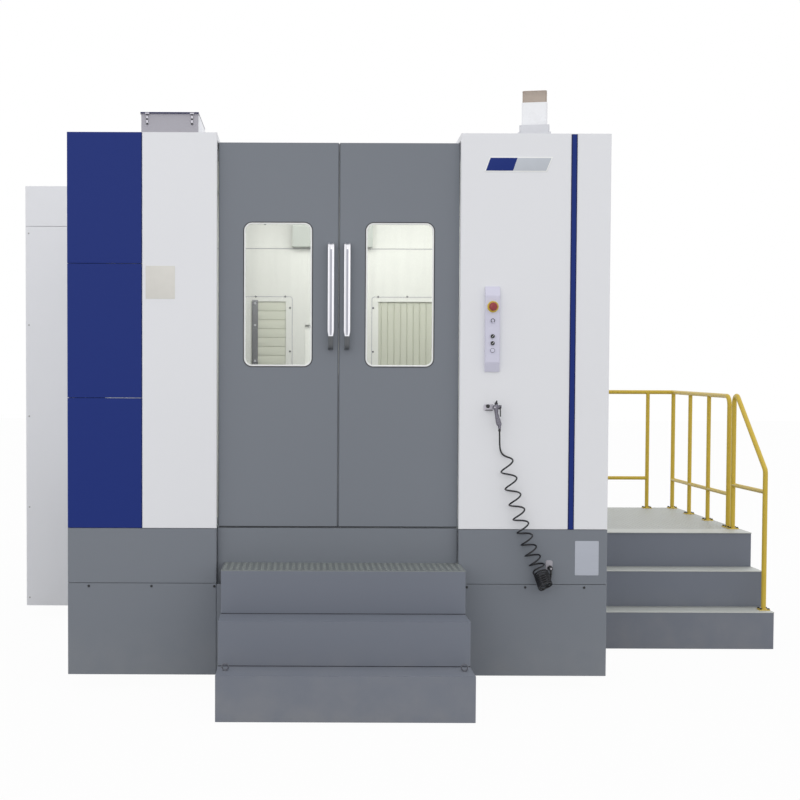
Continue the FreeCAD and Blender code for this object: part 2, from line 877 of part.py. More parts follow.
def ribbed_cover():
    """The ribbed cover: a sheet pressed into upright ribs."""
    x0 = port_inner
    x1 = port_inner + mesh_port_width
    y0 = chamber_back + wall_sheet
    count = int(mesh_port_width / rib_pitch)
    start = x0 + (mesh_port_width - count * rib_pitch) / 2
    front = []
    for i in range(count):
        x = start + i * rib_pitch
        front += [(x, y0), (x + rib_pitch / 2 - rib_depth / 2, y0),
                  (x + rib_pitch / 2, y0 - rib_depth), (x + rib_pitch / 2 + rib_depth / 2, y0)]
    outline = [(x0 - cover_overlap, y0)] + front + [(x1 + cover_overlap, y0)]
    outline += [(x1 + cover_overlap, y0 + wall_sheet), (x0 - cover_overlap, y0 + wall_sheet)]
    sheet_body = prism_z(outline, port_bottom, port_top)
    frame = cover_frame(x0, x1).cut(block(x0, x1, chamber_back - sheet, y0 + sheet, port_bottom, port_top))
    top = block(x0 - cover_overlap, x1 + cover_overlap, y0, y0 + wall_sheet, port_top, port_top + cover_overlap)
    foot = block(x0 - cover_overlap, x1 + cover_overlap, y0, y0 + wall_sheet,
                 port_bottom - cover_overlap, port_bottom)
    return fused([frame, sheet_body, top, foot])


def work_light():
    """A wide lamp high on the back wall, its glass face leaning down."""
    y1 = chamber_back - wall_sheet
    z1 = light_bottom + light_height
    outline = [(y1, light_bottom), (y1, z1), (y1 - light_depth, z1),
               (y1 - light_depth, z1 - light_slope), (y1 - light_depth + light_slope, light_bottom)]
    return prism_x(outline, -light_width / 2, light_width / 2)


def magazine_guard():
    return hollow_box(magazine_left, -half_width, magazine_front, magazine_front + magazine_depth,
                      magazine_bottom, magazine_seam)


def magazine_top_cover():
    return hollow_box(magazine_left, -half_width, magazine_front, magazine_front + magazine_depth,
                      magazine_seam + panel_gap, magazine_top)


# ---- Sliding doors ----
def door_leaf():
    """The left door: a pan with a window frame inside it and two hangers that end in trolleys."""
    x1 = meeting_x - door_gap / 2
    x0 = x1 - door_width
    leaf = pan(x0, x1, door_setback, door_back, door_bottom, door_top, V(0, -1, 0))
    wx0 = meeting_x - window_middle_offset - window_width / 2
    wx1 = wx0 + window_width
    wz0 = window_top - window_height
    hole = rounded_plate(wx0, wx1, door_setback - sheet, door_back + sheet, wz0, window_top, window_corner)
    m = glass_margin
    rim = block(wx0 - m - sheet, wx1 + m + sheet, door_setback + sheet, door_back,
                wz0 - m - sheet, window_top + m + sheet)
    rim = rim.cut(block(wx0 - m, wx1 + m, door_setback - sheet, door_back + sheet, wz0 - m, window_top + m))
    hangers = [hanger(x0 + trolley_inset), hanger(x1 - trolley_inset - trolley_length)]
    return fused([leaf.cut(hole), rim] + hangers)


def hanger(x0):
    """A bracket on the door's back, with a neck through the track's slot and a trolley inside the track."""
    y0 = door_back + track_setback
    middle = y0 + track_width / 2
    z1 = door_top - track_drop + track_height
    z0 = z1 - track_height
    low = z0 - hanger_drop
    foot = block(x0, x0 + trolley_length, door_back, middle + trolley_neck / 2, low, low + hanger_thickness)
    neck = block(x0, x0 + trolley_length, middle - trolley_neck / 2, middle + trolley_neck / 2,
                 low, z0 + track_wall + trolley_play)
    head = block(x0, x0 + trolley_length, y0 + track_wall + trolley_play,
                 y0 + track_width - track_wall - trolley_play,
                 z0 + track_wall + slide_clearance, z1 - track_wall - trolley_play)
    plate = block(x0, x0 + trolley_length, door_back - sheet, door_back, low, door_top - sheet)
    return fused([foot, neck, head, plate])


def door_window():
    """The left door's pane, held against the back of the skin inside the window frame."""
    wx0 = meeting_x - window_middle_offset - window_width / 2
    y0 = door_setback + sheet
    return block(wx0 - glass_margin, wx0 + window_width + glass_margin, y0, y0 + glass_thickness,
                 window_top - window_height - glass_margin, window_top + glass_margin)


def door_handle():
    """The left door's bow handle: a grooved flat bar whose ends bend back to the door."""
    x = meeting_x - handle_offset
    z0 = handle_bottom
    z1 = handle_bottom + handle_height
    y1 = door_setback
    y0 = door_setback - handle_reach
    outer = block(x - handle_width / 2, x + handle_width / 2, y0, y1, z0, z1)
    outer = outer.makeFillet(handle_bend, [e for e in outer.Edges
                                           if on_plane(e, Y_AXIS, y0) and along(e, X_AXIS)])
    t = handle_thickness
    inner = block(x - handle_width, x + handle_width, y0 + t, y1 + t, z0 + t, z1 - t)
    inner = inner.makeFillet(handle_bend - t, [e for e in inner.Edges
                                               if on_plane(e, Y_AXIS, y0 + t) and along(e, X_AXIS)])
    bow = outer.cut(inner)
    radius = (handle_width * handle_width / 8 + handle_groove * handle_groove / 2) / handle_groove
    groove = Part.makeCylinder(radius, handle_height * 2, V(x, y0 + handle_groove - radius, z0 - handle_height / 2))
    return bow.cut(groove)


# ---- Service door ----
def hinge_heights():
    z0 = doorway_bottom
    return (z0 + hinge_inset, z0 + service_height - hinge_inset)


def hinge_place(z):
    return V(half_width + hinge_offset, service_front + service_width + service_overlap + hinge_offset, z)


def hinge_knuckle(z, on_door):
    """One hinge: a fixed lower half with its pin, and an upper half that turns with the door."""
    place = hinge_place(z)
    half = hinge_length / 2
    if on_door:
        barrel = bar(hinge_radius, place + Z_AXIS * sheet / 2, place + Z_AXIS * half, pipe_sides)
        leaf = block(half_width + sheet, place.x + hinge_radius / 2, service_front + service_width,
                     place.y, z + sheet / 2, z + half)
        bore = rod(hinge_pin_radius + pin_clearance, place - Z_AXIS * half, place + Z_AXIS * hinge_length)
        return barrel.fuse(leaf).cut(bore)
    barrel = bar(hinge_radius, place - Z_AXIS * half, place, pipe_sides)
    leaf = block(half_width - sheet, place.x, place.y, place.y + hinge_radius, z - half, z)
    pin = rod(hinge_pin_radius, place - Z_AXIS * half, place + Z_AXIS * half)
    return barrel.fuse([leaf, pin])


def service_door():
    """A plain hinged door over the doorway, with its hinge barrels and a pull handle."""
    z0 = doorway_bottom
    o = service_overlap
    x0 = half_width + sheet / 2
    leaf = pan(x0, x0 + service_depth, service_front - o, service_front + service_width + o,
               z0 - o, z0 + service_height + o, X_AXIS)
    barrels = [hinge_knuckle(z, True) for z in hinge_heights()]
    cut = [block(x0 - sheet, x0 + service_depth + sheet, hinge_place(z).y - hinge_offset - hinge_radius,
                 hinge_place(z).y + o, z - hinge_length / 2 - sheet, z + sheet / 2)
           for z in hinge_heights()]
    for notch in cut:
        leaf = leaf.cut(notch)
    hx = x0 + service_depth
    hy = service_front + latch_width
    hz = z0 + latch_height
    pull = block(hx, hx + latch_reach, hy, hy + latch_width, hz, hz + latch_length)
    gap = block(hx - sheet, hx + latch_reach - handle_thickness, hy - sheet, hy + latch_width + sheet,
                hz + handle_thickness, hz + latch_length - handle_thickness)
    return fused([leaf] + barrels + [pull.cut(gap)])


# ---- Steps and platform ----
def flight(x0, x1, front, back, top):
    """A flight of steps: hollow welded boxes, stacked one for each riser."""
    boxes = []
    for i in range(step_count):
        z0 = i * riser_height
        boxes.append(hollow_box(x0, x1, front + i * tread_depth, back, z0, min(z0 + riser_height, top)))
    return group(boxes)


def front_steps():
    x0 = front_step_middle - front_step_width / 2
    return flight(x0, x0 + front_step_width, front_step_front, -wall_clearance, platform_height - tread_plate)


def front_step_grating():
    """The top landing: a tread plate that runs back to the apron between the columns."""
    x0 = front_step_middle - front_step_width / 2
    x1 = x0 + front_step_width
    z1 = platform_height
    plate = block(x0, x1, -front_landing_depth, -wall_clearance, z1 - tread_plate, z1)
    tongue = block(max(x0, -opening_half + wall_clearance), min(x1, opening_half - wall_clearance),
                   -wall_clearance, door_setback, z1 - tread_plate, z1)
    return fused([plate, tongue])


def lifting_eyes():
    """Two lifting eyes on the first tread."""
    eyes = []
    y = front_step_front + tread_depth - eye_setback
    for side in (-1, 1):
        x = front_step_middle + side * (front_step_width / 2 - eye_inset)
        centre = V(x, y, riser_height + eye_ring_radius + eye_wire_radius)
        section = [(eye_ring_radius + eye_wire_radius * math.cos(a), eye_wire_radius * math.sin(a))
                   for a in [2 * math.pi * i / eye_wire_sides for i in range(eye_wire_sides)]]
        ring = turned(section, centre, Y_AXIS, pipe_sides)
        collar = block(x - 2 * eye_wire_radius, x + 2 * eye_wire_radius, y - 2 * eye_wire_radius,
                       y + 2 * eye_wire_radius, riser_height, riser_height + eye_wire_radius)
        eyes.append(ring.fuse(collar))
    return group(eyes)


def side_steps():
    """Steps and platform base beside the machine."""
    front = platform_front - (step_count - 1) * tread_depth
    return flight(half_width + wall_clearance, platform_right, front, platform_back, deck_bottom)


def platform_deck():
    """Tread plates on the platform and on its two lower steps."""
    x0 = half_width + wall_clearance
    x1 = platform_right
    plates = [block(x0, x1, platform_front - tread_plate, platform_back, deck_bottom, platform_height)]
    for i in range(1, step_count):
        y0 = platform_front - (step_count - i) * tread_depth
        z0 = i * riser_height
        plates.append(block(x0, x1, y0, y0 + tread_depth - tread_plate, z0, z0 + tread_plate))
    return group(plates)


def pipe_run(points, radius):
    """A bent pipe of this radius as separate pieces: straight lengths, with an elbow at each inner corner."""
    pieces = []
    last = points[0]
    for before, corner, after in zip(points, points[1:], points[2:]):
        incoming = (corner - before).normalize()
        outgoing = (after - corner).normalize()
        turn = math.acos(incoming.dot(outgoing))
        reach = pipe_bend * math.tan(turn / 2)
        start = corner - incoming * reach
        centre = corner + (outgoing - incoming).normalize() * (pipe_bend / math.cos(turn / 2))
        ring = ring_points(radius, start, incoming, pipe_sides)
        disc = Part.Face(Part.makePolygon(ring + ring[:1]))
        pieces += [prism(ring, last - start), disc.revolve(centre, incoming.cross(outgoing), math.degrees(turn))]
        last = corner + outgoing * reach
    pieces.append(bar(radius, last, points[-1], pipe_sides))
    return pieces


def straight_rail(start, end):
    return bar(middle_rail_radius, start, end, pipe_sides)


def post_foot(x, y, z):
    """The square plate under a post."""
    half = post_plate / 2
    return block(x - half, x + half, y - half, y + half, z, z + post_plate_thickness)


def post(x, y, z0, z1):
    return bar(post_radius, V(x, y, z0), V(x, y, z1), pipe_sides)


def back_guardrail():
    """Rails along the platform's back, between the machine, a post and the corner post."""
    z0 = platform_height
    y = back_rail_y
    z_top = z0 + rail_height_top
    z_mid = z0 + rail_height_middle
    x_mid = rail_x - back_post_spacing
    corner = bar(pipe_radius, V(rail_x, y, z0), V(rail_x, y, z_top + pipe_radius), pipe_sides)
    top = bar(pipe_radius, V(half_width, y, z_top), V(rail_x, y, z_top), pipe_sides)
    middle = straight_rail(V(half_width, y, z_mid), V(rail_x, y, z_mid))
    return fitted([post_foot(rail_x, y, z0), post_foot(x_mid, y, z0), corner, top,
                   post(x_mid, y, z0, z_top), middle])


def side_guardrail():
    """Rails along the platform's right edge, from the corner to the stairs."""
    z0 = platform_height
    z_top = z0 + rail_height_top
    z_mid = z0 + rail_height_middle
    y_end = back_rail_y - step_count * side_post_pitch
    feet = [post_foot(rail_x, y_end, z0)]
    posts = []
    for i in range(1, step_count):
        y = back_rail_y - i * side_post_pitch
        feet.append(post_foot(rail_x, y, z0))
        posts.append(post(rail_x, y, z0, z_top))
    run = pipe_run([V(rail_x, splice_y, z_top), V(rail_x, y_end, z_top), V(rail_x, y_end, z0)], pipe_radius)
    middle = straight_rail(V(rail_x, splice_y, z_mid), V(rail_x, y_end, z_mid))
    return fitted(feet + run + posts + [middle])


def stair_handrail():
    """The handrail that follows the stairs from the platform down to the first tread."""
    z0 = platform_height
    y_top = back_rail_y - step_count * side_post_pitch - stair_post_gap
    y_low = platform_front - (step_count - 1) * tread_depth + stair_foot_post
    low = riser_height + tread_plate
    z_low = low + stair_rail_height
    run = pipe_run([V(rail_x, y_top, z0), V(rail_x, y_top, z0 + rail_height_top),
                    V(rail_x, y_low, z_low), V(rail_x, y_low, low)], pipe_radius)
    z_middle = low + stair_middle_rail
    middle = straight_rail(V(rail_x, y_top, z_middle), V(rail_x, y_low, z_middle))
    return fitted([post_foot(rail_x, y_top, z0), post_foot(rail_x, y_low, low)] + run + [middle])


# ---- Roof ----
def roof_box():
    """A closed box on the roof with an overhanging lid."""
    x0 = roof_box_left
    x1 = x0 + roof_box_width
    y0 = roof_box_front
    y1 = y0 + roof_box_depth
    z1 = machine_top + roof_box_height
    body = hollow_box(x0 + edge_break, x1 - edge_break, y0 + edge_break, y1 - edge_break,
                      machine_top, z1 - roof_box_lid)
    lid = block(x0, x1, y0, y1, z1 - roof_box_lid, z1)
    return fused([body, lid])


def lamp_block(size, z0, z1):
    """A square block with chamfered upright edges, turned a little towards the operator's place."""
    middle = lamp_front + lamp_size / 2
    body = block(lamp_middle - size / 2, lamp_middle + size / 2, middle - size / 2, middle + size / 2, z0, z1)
    body = body.makeChamfer(lamp_corner, [e for e in body.Edges if along(e, Z_AXIS)])
    return body.rotated(V(lamp_middle, middle, 0), Z_AXIS, -lamp_turn)


def lamp_levels():
    base_top = machine_top + lamp_base_height
    body_top = base_top + lamp_body_height
    return machine_top, base_top, body_top, body_top + lamp_lens_height


def signal_lamp_base():
    """A foot on the roof, and a narrower block under the lamp."""
    z0, z1, _, _ = lamp_levels()
    foot = lamp_block(lamp_foot_size, z0, z1 - lamp_block_height)
    upper = lamp_block(lamp_base_size, z1 - lamp_block_height, z1)
    return fused([foot, upper])


def signal_lamp_body():
    _, z1, z2, _ = lamp_levels()
    return lamp_block(lamp_size, z1, z2)


def signal_lamp_lens():
    _, _, z2, z3 = lamp_levels()
    return lamp_block(lamp_size - 2 * edge_break, z2, z3)


# ---- Control strip ----
def face_rod(radius, z, y0, y1):
    """A round piece or hole on the strip's middle line, along Y."""
    return bar(radius, V(strip_middle, y0, z), V(strip_middle, y1, z), knob_sides)


def button_places():
    return ((ring_button_height, ring_button_radius), (selector_upper_height, selector_radius),
            (selector_lower_height, selector_radius), (white_button_height, white_button_radius))


def control_strip():
    """A shallow housing with bevelled ends, raised bezels and the bores of its controls."""
    z0 = strip_bottom
    z1 = strip_bottom + strip_height
    outline = [(0, z0), (0, z1), (-strip_end_depth, z1), (strip_face, z1 - strip_bevel),
               (strip_face, z0 + strip_bevel), (-strip_end_depth, z0)]
    body = prism_x(outline, strip_middle - strip_width / 2, strip_middle + strip_width / 2)
    upright = [e for e in body.Edges if along(e, Z_AXIS) and on_plane(e, Y_AXIS, strip_face)]
    body = body.makeChamfer(edge_break, upright)
    for z, radius in button_places():
        body = body.fuse(face_rod(radius + bezel_rim, z, strip_face - bezel_height, strip_face))
    for z, radius in button_places():
        body = body.cut(face_rod(radius + button_clearance, z, strip_face - bezel_height - sheet,
                                 strip_face + button_depth + button_travel))
    stop_depth = stop_collar_thickness + stop_travel + button_depth
    return body.cut(face_rod(stop_stem_radius + button_clearance, stop_height, strip_face - sheet,
                             strip_face + stop_depth)).removeSplitter()


def estop_collar():
    """The round plate under the emergency stop."""
    disc = face_rod(stop_collar_radius, stop_height, strip_face - stop_collar_thickness, strip_face)
    return disc.cut(face_rod(stop_stem_radius + button_clearance, stop_height,
                             strip_face - 2 * stop_collar_thickness, strip_face + sheet))


def estop_button():
    """The mushroom button: a domed head on a stem."""
    neck = stop_travel + sheet / 2
    head = stop_neck
    foot = -stop_collar_thickness - button_depth
    profile = [(0, foot), (stop_stem_radius, foot), (stop_stem_radius, neck),
               (stop_radius, neck), (stop_radius, neck + head / 2),
               (stop_dome_radius, neck + head), (0, neck + head)]
    return turned(profile, V(strip_middle, strip_face - stop_collar_thickness, stop_height), V(0, -1, 0),
                  knob_sides)


def push_button(z, radius):
    """A round push button that stands out of its bezel."""
    front = strip_face - bezel_height - button_stand
    return face_rod(radius, z, front, strip_face + button_depth)


def selector(z):
    """A turning knob: a round base with a grip across it, which rests at a slant."""
    front = strip_face - bezel_height - sheet
    base = face_rod(selector_radius, z, front, strip_face + button_depth)
    grip = block(strip_middle - selector_bar / 2, strip_middle + selector_bar / 2, front - selector_reach, front,
                 z - selector_radius + sheet, z + selector_radius - sheet)
    grip = grip.makeChamfer(sheet / 2, [e for e in grip.Edges if on_plane(e, Y_AXIS, front - selector_reach)])
    return fused([base, grip.rotated(V(strip_middle, 0, z), Y_AXIS, selector_rest)])


# ---- Air gun, hook and hose ----
def gun_levels():
    head = gun_bottom + gun_grip_length
    return gun_bottom, head, head + gun_head_height


def gun_hook():
    """A wall plate with a dark knob and an arm that the gun hangs on."""
    z0 = hook_bottom
    z1 = hook_bottom + hook_height
    plate = rounded_plate(hook_left, hook_left + hook_width, -hook_plate, 0, z0, z1, hook_plate)
    knob_at = V(hook_left + hook_width / 2 - hook_knob_aside, -hook_plate, (z0 + z1) / 2 + hook_knob_rise)
    knob = bar(hook_knob_radius, knob_at, knob_at - Y_AXIS * hook_knob_length, knob_sides)
    arm_x = hook_left + hook_width - hook_arm
    top = gun_levels()[-1]
    arm_z = top - 2 * hook_arm
    arm = block(arm_x, arm_x + hook_arm, gun_y - gun_head_depth / 2, -hook_plate, arm_z, arm_z + hook_arm)
    web = block(arm_x, arm_x + hook_arm, -2 * hook_plate, -hook_plate, z0 + hook_arm, arm_z + hook_arm)
    return fused([plate, knob, arm, web])


def air_gun():
    """A blow gun that hangs by its head: tapered grip below, head, lug and nozzle above."""
    low, head, top = gun_levels()
    half = gun_grip_width / 2
    profile = [(0, 0), (half - gun_grip_taper, 0), (half, gun_grip_length / 3),
               (half - gun_grip_taper / 2, gun_grip_length), (0, gun_grip_length)]
    grip = turned(profile, V(gun_x, gun_y, low), Z_AXIS, knob_sides)
    arm_right = hook_left + hook_width
    body = block(arm_right, gun_x + half, gun_y - gun_head_depth / 2, gun_y + gun_head_depth / 2, head, top)
    body = body.makeChamfer(hook_plate, [e for e in body.Edges if along(e, Z_AXIS)])
    lean = V(-gun_nozzle_lean, 0, gun_nozzle_length)
    nozzle = bar(gun_nozzle_radius, V(gun_x - half / 2, gun_y, top - hook_arm),
                 V(gun_x - half / 2, gun_y, top) + lean, pipe_sides)
    slot_y = gun_y - gun_head_depth / 2
    pivot = gun_pivot()
    lug = block(gun_x - gun_trigger_thickness, gun_x + gun_trigger_thickness, slot_y - gun_trigger_gap,
                slot_y + sheet, pivot.z - gun_trigger_thickness, top)
    cut = block(gun_x - gun_trigger_thickness / 2 - button_clearance,
                gun_x + gun_trigger_thickness / 2 + button_clearance,
                slot_y - 2 * gun_trigger_gap, slot_y, pivot.z - 2 * gun_trigger_thickness, top + sheet)
    pin = bar(gun_pin_radius, pivot - X_AXIS * gun_trigger_thickness, pivot + X_AXIS * gun_trigger_thickness,
              pipe_sides)
    gun = fused([grip, body, nozzle, lug]).cut(cut)
    return fused([gun, pin])


def gun_pivot():
    """Where the trigger turns, on an axis along X."""
    top = gun_levels()[-1]
    return V(gun_x, gun_y - gun_head_depth / 2 - gun_trigger_gap / 2, top - gun_trigger_thickness)


def gun_trigger():
    """The lever in front of the grip, on its pin."""
    pivot = gun_pivot()
    t = gun_trigger_thickness
    y = pivot.y
    outline = [(y - sheet, pivot.z + sheet), (y + sheet, pivot.z + sheet), (y + sheet, pivot.z - t),
               (y - t, pivot.z - gun_trigger_length), (y - t - sheet, pivot.z - gun_trigger_length),
               (y - sheet, pivot.z - t)]
    lever = prism_x(outline, gun_x - t / 2, gun_x + t / 2)
    bore = bar(gun_pin_radius + pin_clearance, pivot - X_AXIS * t, pivot + X_AXIS * t, pipe_sides)
    return lever.cut(bore)


def hose_fitting():
    """The wall plate, the block on it and the nipple that points down."""
    half = fitting_plate_width / 2
    plate = rounded_plate(fitting_x - half, fitting_x + half, -fitting_plate_thickness, 0,
                          fitting_z - fitting_plate_height / 4, fitting_z + 3 * fitting_plate_height / 4,
                          hook_plate)
    end = V(fitting_x, -fitting_reach, fitting_z)
    seat = V(fitting_x, -fitting_plate_thickness, fitting_z)
    arm = bar(fitting_radius, seat, end - Y_AXIS * fitting_radius, pipe_sides)
    nut = bar(fitting_nut_radius, seat, seat - Y_AXIS * fitting_radius, nut_sides)
    nipple = bar(fitting_nipple_radius, end, end - Z_AXIS * fitting_nipple, pipe_sides)
    return fused([plate, arm, nut, nipple])


def coil_axis(turn):
    """The middle of the coil after this many turns, and the direction in which it runs there."""
    stretched = min(turn, stretched_turns)
    x = coil_start_x + stretched_step * stretched
    fall = first_pitch * stretched + (last_pitch - first_pitch) * stretched ** 2 / (2 * stretched_turns)
    centre = V(x, -coil_radius - hose_radius - coil_gap_to_wall, coil_start_z - fall)
    pitch_here = first_pitch + (last_pitch - first_pitch) * stretched / stretched_turns
    hanging = V(stretched_step, 0, -pitch_here).normalize()
    heap = V(tight_side, -tight_lean, -1).normalize()
    extra = max(turn - stretched_turns, 0.0)
    settle = min(max(turn - stretched_turns + 1, 0.0), 1.0)
    settle = settle * settle * (3 - 2 * settle)
    centre = centre + heap * (tight_pitch * extra)
    return centre, (hanging * (1 - settle) + heap * settle).normalize()


def coil_point(turn):
    """A point on the coil's middle line: back, right, front, left, as the turn number grows."""
    centre, run = coil_axis(turn)
    side = (X_AXIS - run * X_AXIS.dot(run)).normalize()
    front = run.cross(side)
    angle = 2 * math.pi * turn - math.pi / 2
    return centre + (side * math.cos(angle) + front * math.sin(angle)) * coil_radius


def coil_tangent(turn):
    step = 0.001
    return (coil_point(turn + step) - coil_point(turn - step)).normalize()


def arc_from(start, tangent, end):
    """The arc that leaves `start` along the tangent and ends at `end`."""
    chord = end - start
    unit = V(chord).normalize()
    bow = tangent - unit * tangent.dot(unit)
    if bow.Length < touching:
        return Part.makeLine(start, end)
    angle = math.acos(max(-1.0, min(1.0, tangent.dot(unit))))
    middle = (start + end) * 0.5 - bow.normalize() * (chord.Length / 2 * math.tan(angle / 2)) * -1
    return Part.Arc(start, middle, end).toShape()


def biarc(start, leave, end, arrive):
    """Two arcs in space that join smoothly and keep the directions at both ends."""
    chord = end - start
    both = leave + arrive
    spread = 2 * (1 - leave.dot(arrive))
    lean = chord.dot(both)
    if spread < 1e-9:
        reach = chord.dot(chord) / (2 * lean)
    else:
        reach = (math.sqrt(lean * lean + spread * chord.dot(chord)) - lean) / spread
    joint = (start + leave * reach + end - arrive * reach) * 0.5
    first = arc_from(start, leave, joint)
    second = arc_from(end, arrive * -1, joint)
    return [first, second]


def hose_stations():
    """Points and directions of the hose's middle line, from the gun to the wall fitting."""
    top = V(gun_x, gun_y, gun_bottom)
    straight = 2 * hose_radius
    lead = V(*hose_lead_point), V(*hose_lead_run).normalize()
    tail = V(*hose_tail_point), V(*hose_tail_run).normalize()
    end = V(fitting_x, -fitting_reach, fitting_z - fitting_nipple)
    count = (stretched_turns + tight_turns) * arcs_per_turn
    turns = [i / arcs_per_turn for i in range(count + 1)]
    stations = [(top, Z_AXIS * -1), (top - Z_AXIS * straight, Z_AXIS * -1), lead]
    stations += [(coil_point(turn), coil_tangent(turn)) for turn in turns]
    return stations + [tail, (end - Z_AXIS * straight, Z_AXIS), (end, Z_AXIS)]


def coil_hose():
    """The curly hose: one unbroken tube on arcs, from the gun's grip to the fitting's nipple."""
    stations = hose_stations()
    edges = []
    for (start, leave), (end, arrive) in zip(stations, stations[1:]):
        if (end - start).cross(leave).Length < touching and (end - start).cross(arrive).Length < touching:
            edges.append(Part.makeLine(start, end))
        else:
            edges += biarc(start, leave, end, arrive)
    path = Part.Wire(Part.__sortEdges__(edges))
    rim = hose_radius / math.cos(math.pi / hose_sides)
    first = stations[0][0]
    turn = 2 * math.pi / hose_sides
    ring = [first + V(rim * math.cos(turn * i), rim * math.sin(turn * i), 0) for i in range(hose_sides)]
    hose = path.makePipeShell([Part.makePolygon(ring + ring[:1])], True, False)
    report_hose(path)
    return hose


def report_hose(path):
    """Print the hose's length, its tightest arc and the least gap between its turns."""
    points = [p for edge in path.Edges for p in edge.discretize(Number=report_samples)[:-1]]
    length = path.Length
    radii = [e.Curve.Radius for e in path.Edges if hasattr(e.Curve, "Radius")]
    spacing = length / len(points)
    skip = int(4 * hose_radius / spacing) + report_skip
    least = min((points[i] - points[j]).Length
                for i in range(len(points)) for j in range(i + skip, len(points)))
    print("hose length %.0f mm, tightest arc %.1f mm, least gap to itself %.2f mm"
          % (length, min(radii), least - 2 * hose_radius / math.cos(math.pi / hose_sides)))


# ---- All nodes ----
def parts():
    left_door = door_leaf()
    left_window = door_window()
    left_handle = door_handle()
    return {
        "machine_bed": machine_bed(),
        "levelling_feet": levelling_feet(),
        "column": column(),
        "saddle": saddle(),
        "table": table(),
        "pallet": pallet(),
        "spindle_head": spindle_head(),
        "head_apron": head_apron(),
        "spindle": spindle(),
        "blue_panels": blue_panels(),
        "left_front_panel": left_front_panel(),
        "right_front_panel": right_front_panel(),
        "blue_stripe": blue_stripe(),
        "enclosure_frame": enclosure_frame(),
        "plinth_panels": plinth_panels(),
        "door_apron": door_apron(),
        "door_track": door_track(),
        "left_side_wall": side_wall(),
        "right_side_wall": right_side_wall(),
        "rear_wall": rear_wall(),
        "roof_panels": roof_panels(),
        "chamber_back_wall": chamber_back_wall(),
        "chamber_liner": chamber_liner(),
        "chip_trays": chip_trays(),
        "slat_cover": slat_cover(),
        "ribbed_cover": ribbed_cover(),
        "work_light": work_light(),
        "magazine_guard": magazine_guard(),
        "magazine_top_cover": magazine_top_cover(),
        "left_door": left_door,
        "left_window": left_window,
        "left_handle": left_handle,
        "right_door": mirrored(left_door, meeting_x),
        "right_window": mirrored(left_window, meeting_x),
        "right_handle": mirrored(left_handle, meeting_x),
        "service_door": service_door(),
        "front_steps": front_steps(),
        "front_step_grating": front_step_grating(),
        "lifting_eyes": lifting_eyes(),
        "side_steps": side_steps(),
        "platform_deck": platform_deck(),
        "back_guardrail": back_guardrail(),
        "side_guardrail": side_guardrail(),
        "stair_handrail": stair_handrail(),
        "roof_box": roof_box(),
        "signal_lamp_base": signal_lamp_base(),
        "signal_lamp_body": signal_lamp_body(),
        "signal_lamp_lens": signal_lamp_lens(),
        "control_strip": control_strip(),
        "estop_collar": estop_collar(),
        "estop_button": estop_button(),
        "ring_button": push_button(ring_button_height, ring_button_radius),
        "selector_upper": selector(selector_upper_height),
        "selector_lower": selector(selector_lower_height),
        "white_button": push_button(white_button_height, white_button_radius),
        "gun_hook": gun_hook(),
        "air_gun": air_gun(),
        "gun_trigger": gun_trigger(),
        "hose_fitting": hose_fitting(),
        "coil_hose": coil_hose(),
    }


def export(shapes):
    os.makedirs("parts", exist_ok=True)
    to_origin = V(-footprint_x, -footprint_y, 0)
    for name, shape in shapes.items():
        shape.translated(to_origin).exportStep("parts/" + name + ".step")


export(parts())
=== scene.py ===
"""Looks of an enclosed horizontal machining centre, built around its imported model."""
import json
import math

import bmesh
import bpy
import numpy as np
from mathutils import Matrix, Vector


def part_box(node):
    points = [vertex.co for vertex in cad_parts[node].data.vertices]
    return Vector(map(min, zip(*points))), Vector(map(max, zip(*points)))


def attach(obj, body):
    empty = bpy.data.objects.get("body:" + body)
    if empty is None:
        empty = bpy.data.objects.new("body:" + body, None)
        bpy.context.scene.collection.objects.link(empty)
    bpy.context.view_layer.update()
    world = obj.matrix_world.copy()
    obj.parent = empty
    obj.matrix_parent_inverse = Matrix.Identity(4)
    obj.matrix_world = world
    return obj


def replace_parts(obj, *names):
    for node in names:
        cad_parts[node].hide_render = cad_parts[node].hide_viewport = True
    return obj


bl_info = {
    "name": "Machining centre looks",
    "version": (1, 0, 0),
    "blender": (4, 5, 0),
    "location": "View3D > Sidebar > Machining centre",
    "description": "Builds the hose, hardware, trims, finishes and studio of a machining centre",
    "category": "Object",
}

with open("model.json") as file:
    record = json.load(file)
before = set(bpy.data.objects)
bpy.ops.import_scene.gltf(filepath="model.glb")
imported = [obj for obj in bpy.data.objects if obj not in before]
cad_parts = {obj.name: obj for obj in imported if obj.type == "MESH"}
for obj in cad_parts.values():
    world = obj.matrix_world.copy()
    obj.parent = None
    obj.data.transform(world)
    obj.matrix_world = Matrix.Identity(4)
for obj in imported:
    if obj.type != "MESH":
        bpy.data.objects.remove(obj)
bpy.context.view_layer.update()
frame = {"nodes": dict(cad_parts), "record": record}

# Places are measured from the doorway's middle, on the front face, at floor level: x right, y back, z up.
doorway_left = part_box("left_front_panel")[1].x
doorway_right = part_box("right_front_panel")[0].x
datum = np.array([(doorway_left + doorway_right) / 2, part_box("left_front_panel")[0].y, 0.0])

FRONT = (0.0, -1.0, 0.0)
BACK = (0.0, 1.0, 0.0)
RIGHT = (1.0, 0.0, 0.0)
LEFT = (-1.0, 0.0, 0.0)
UP = (0.0, 0.0, 1.0)
SMOOTH_ANGLE = math.radians(32)
MERGE_DISTANCE = 2e-6

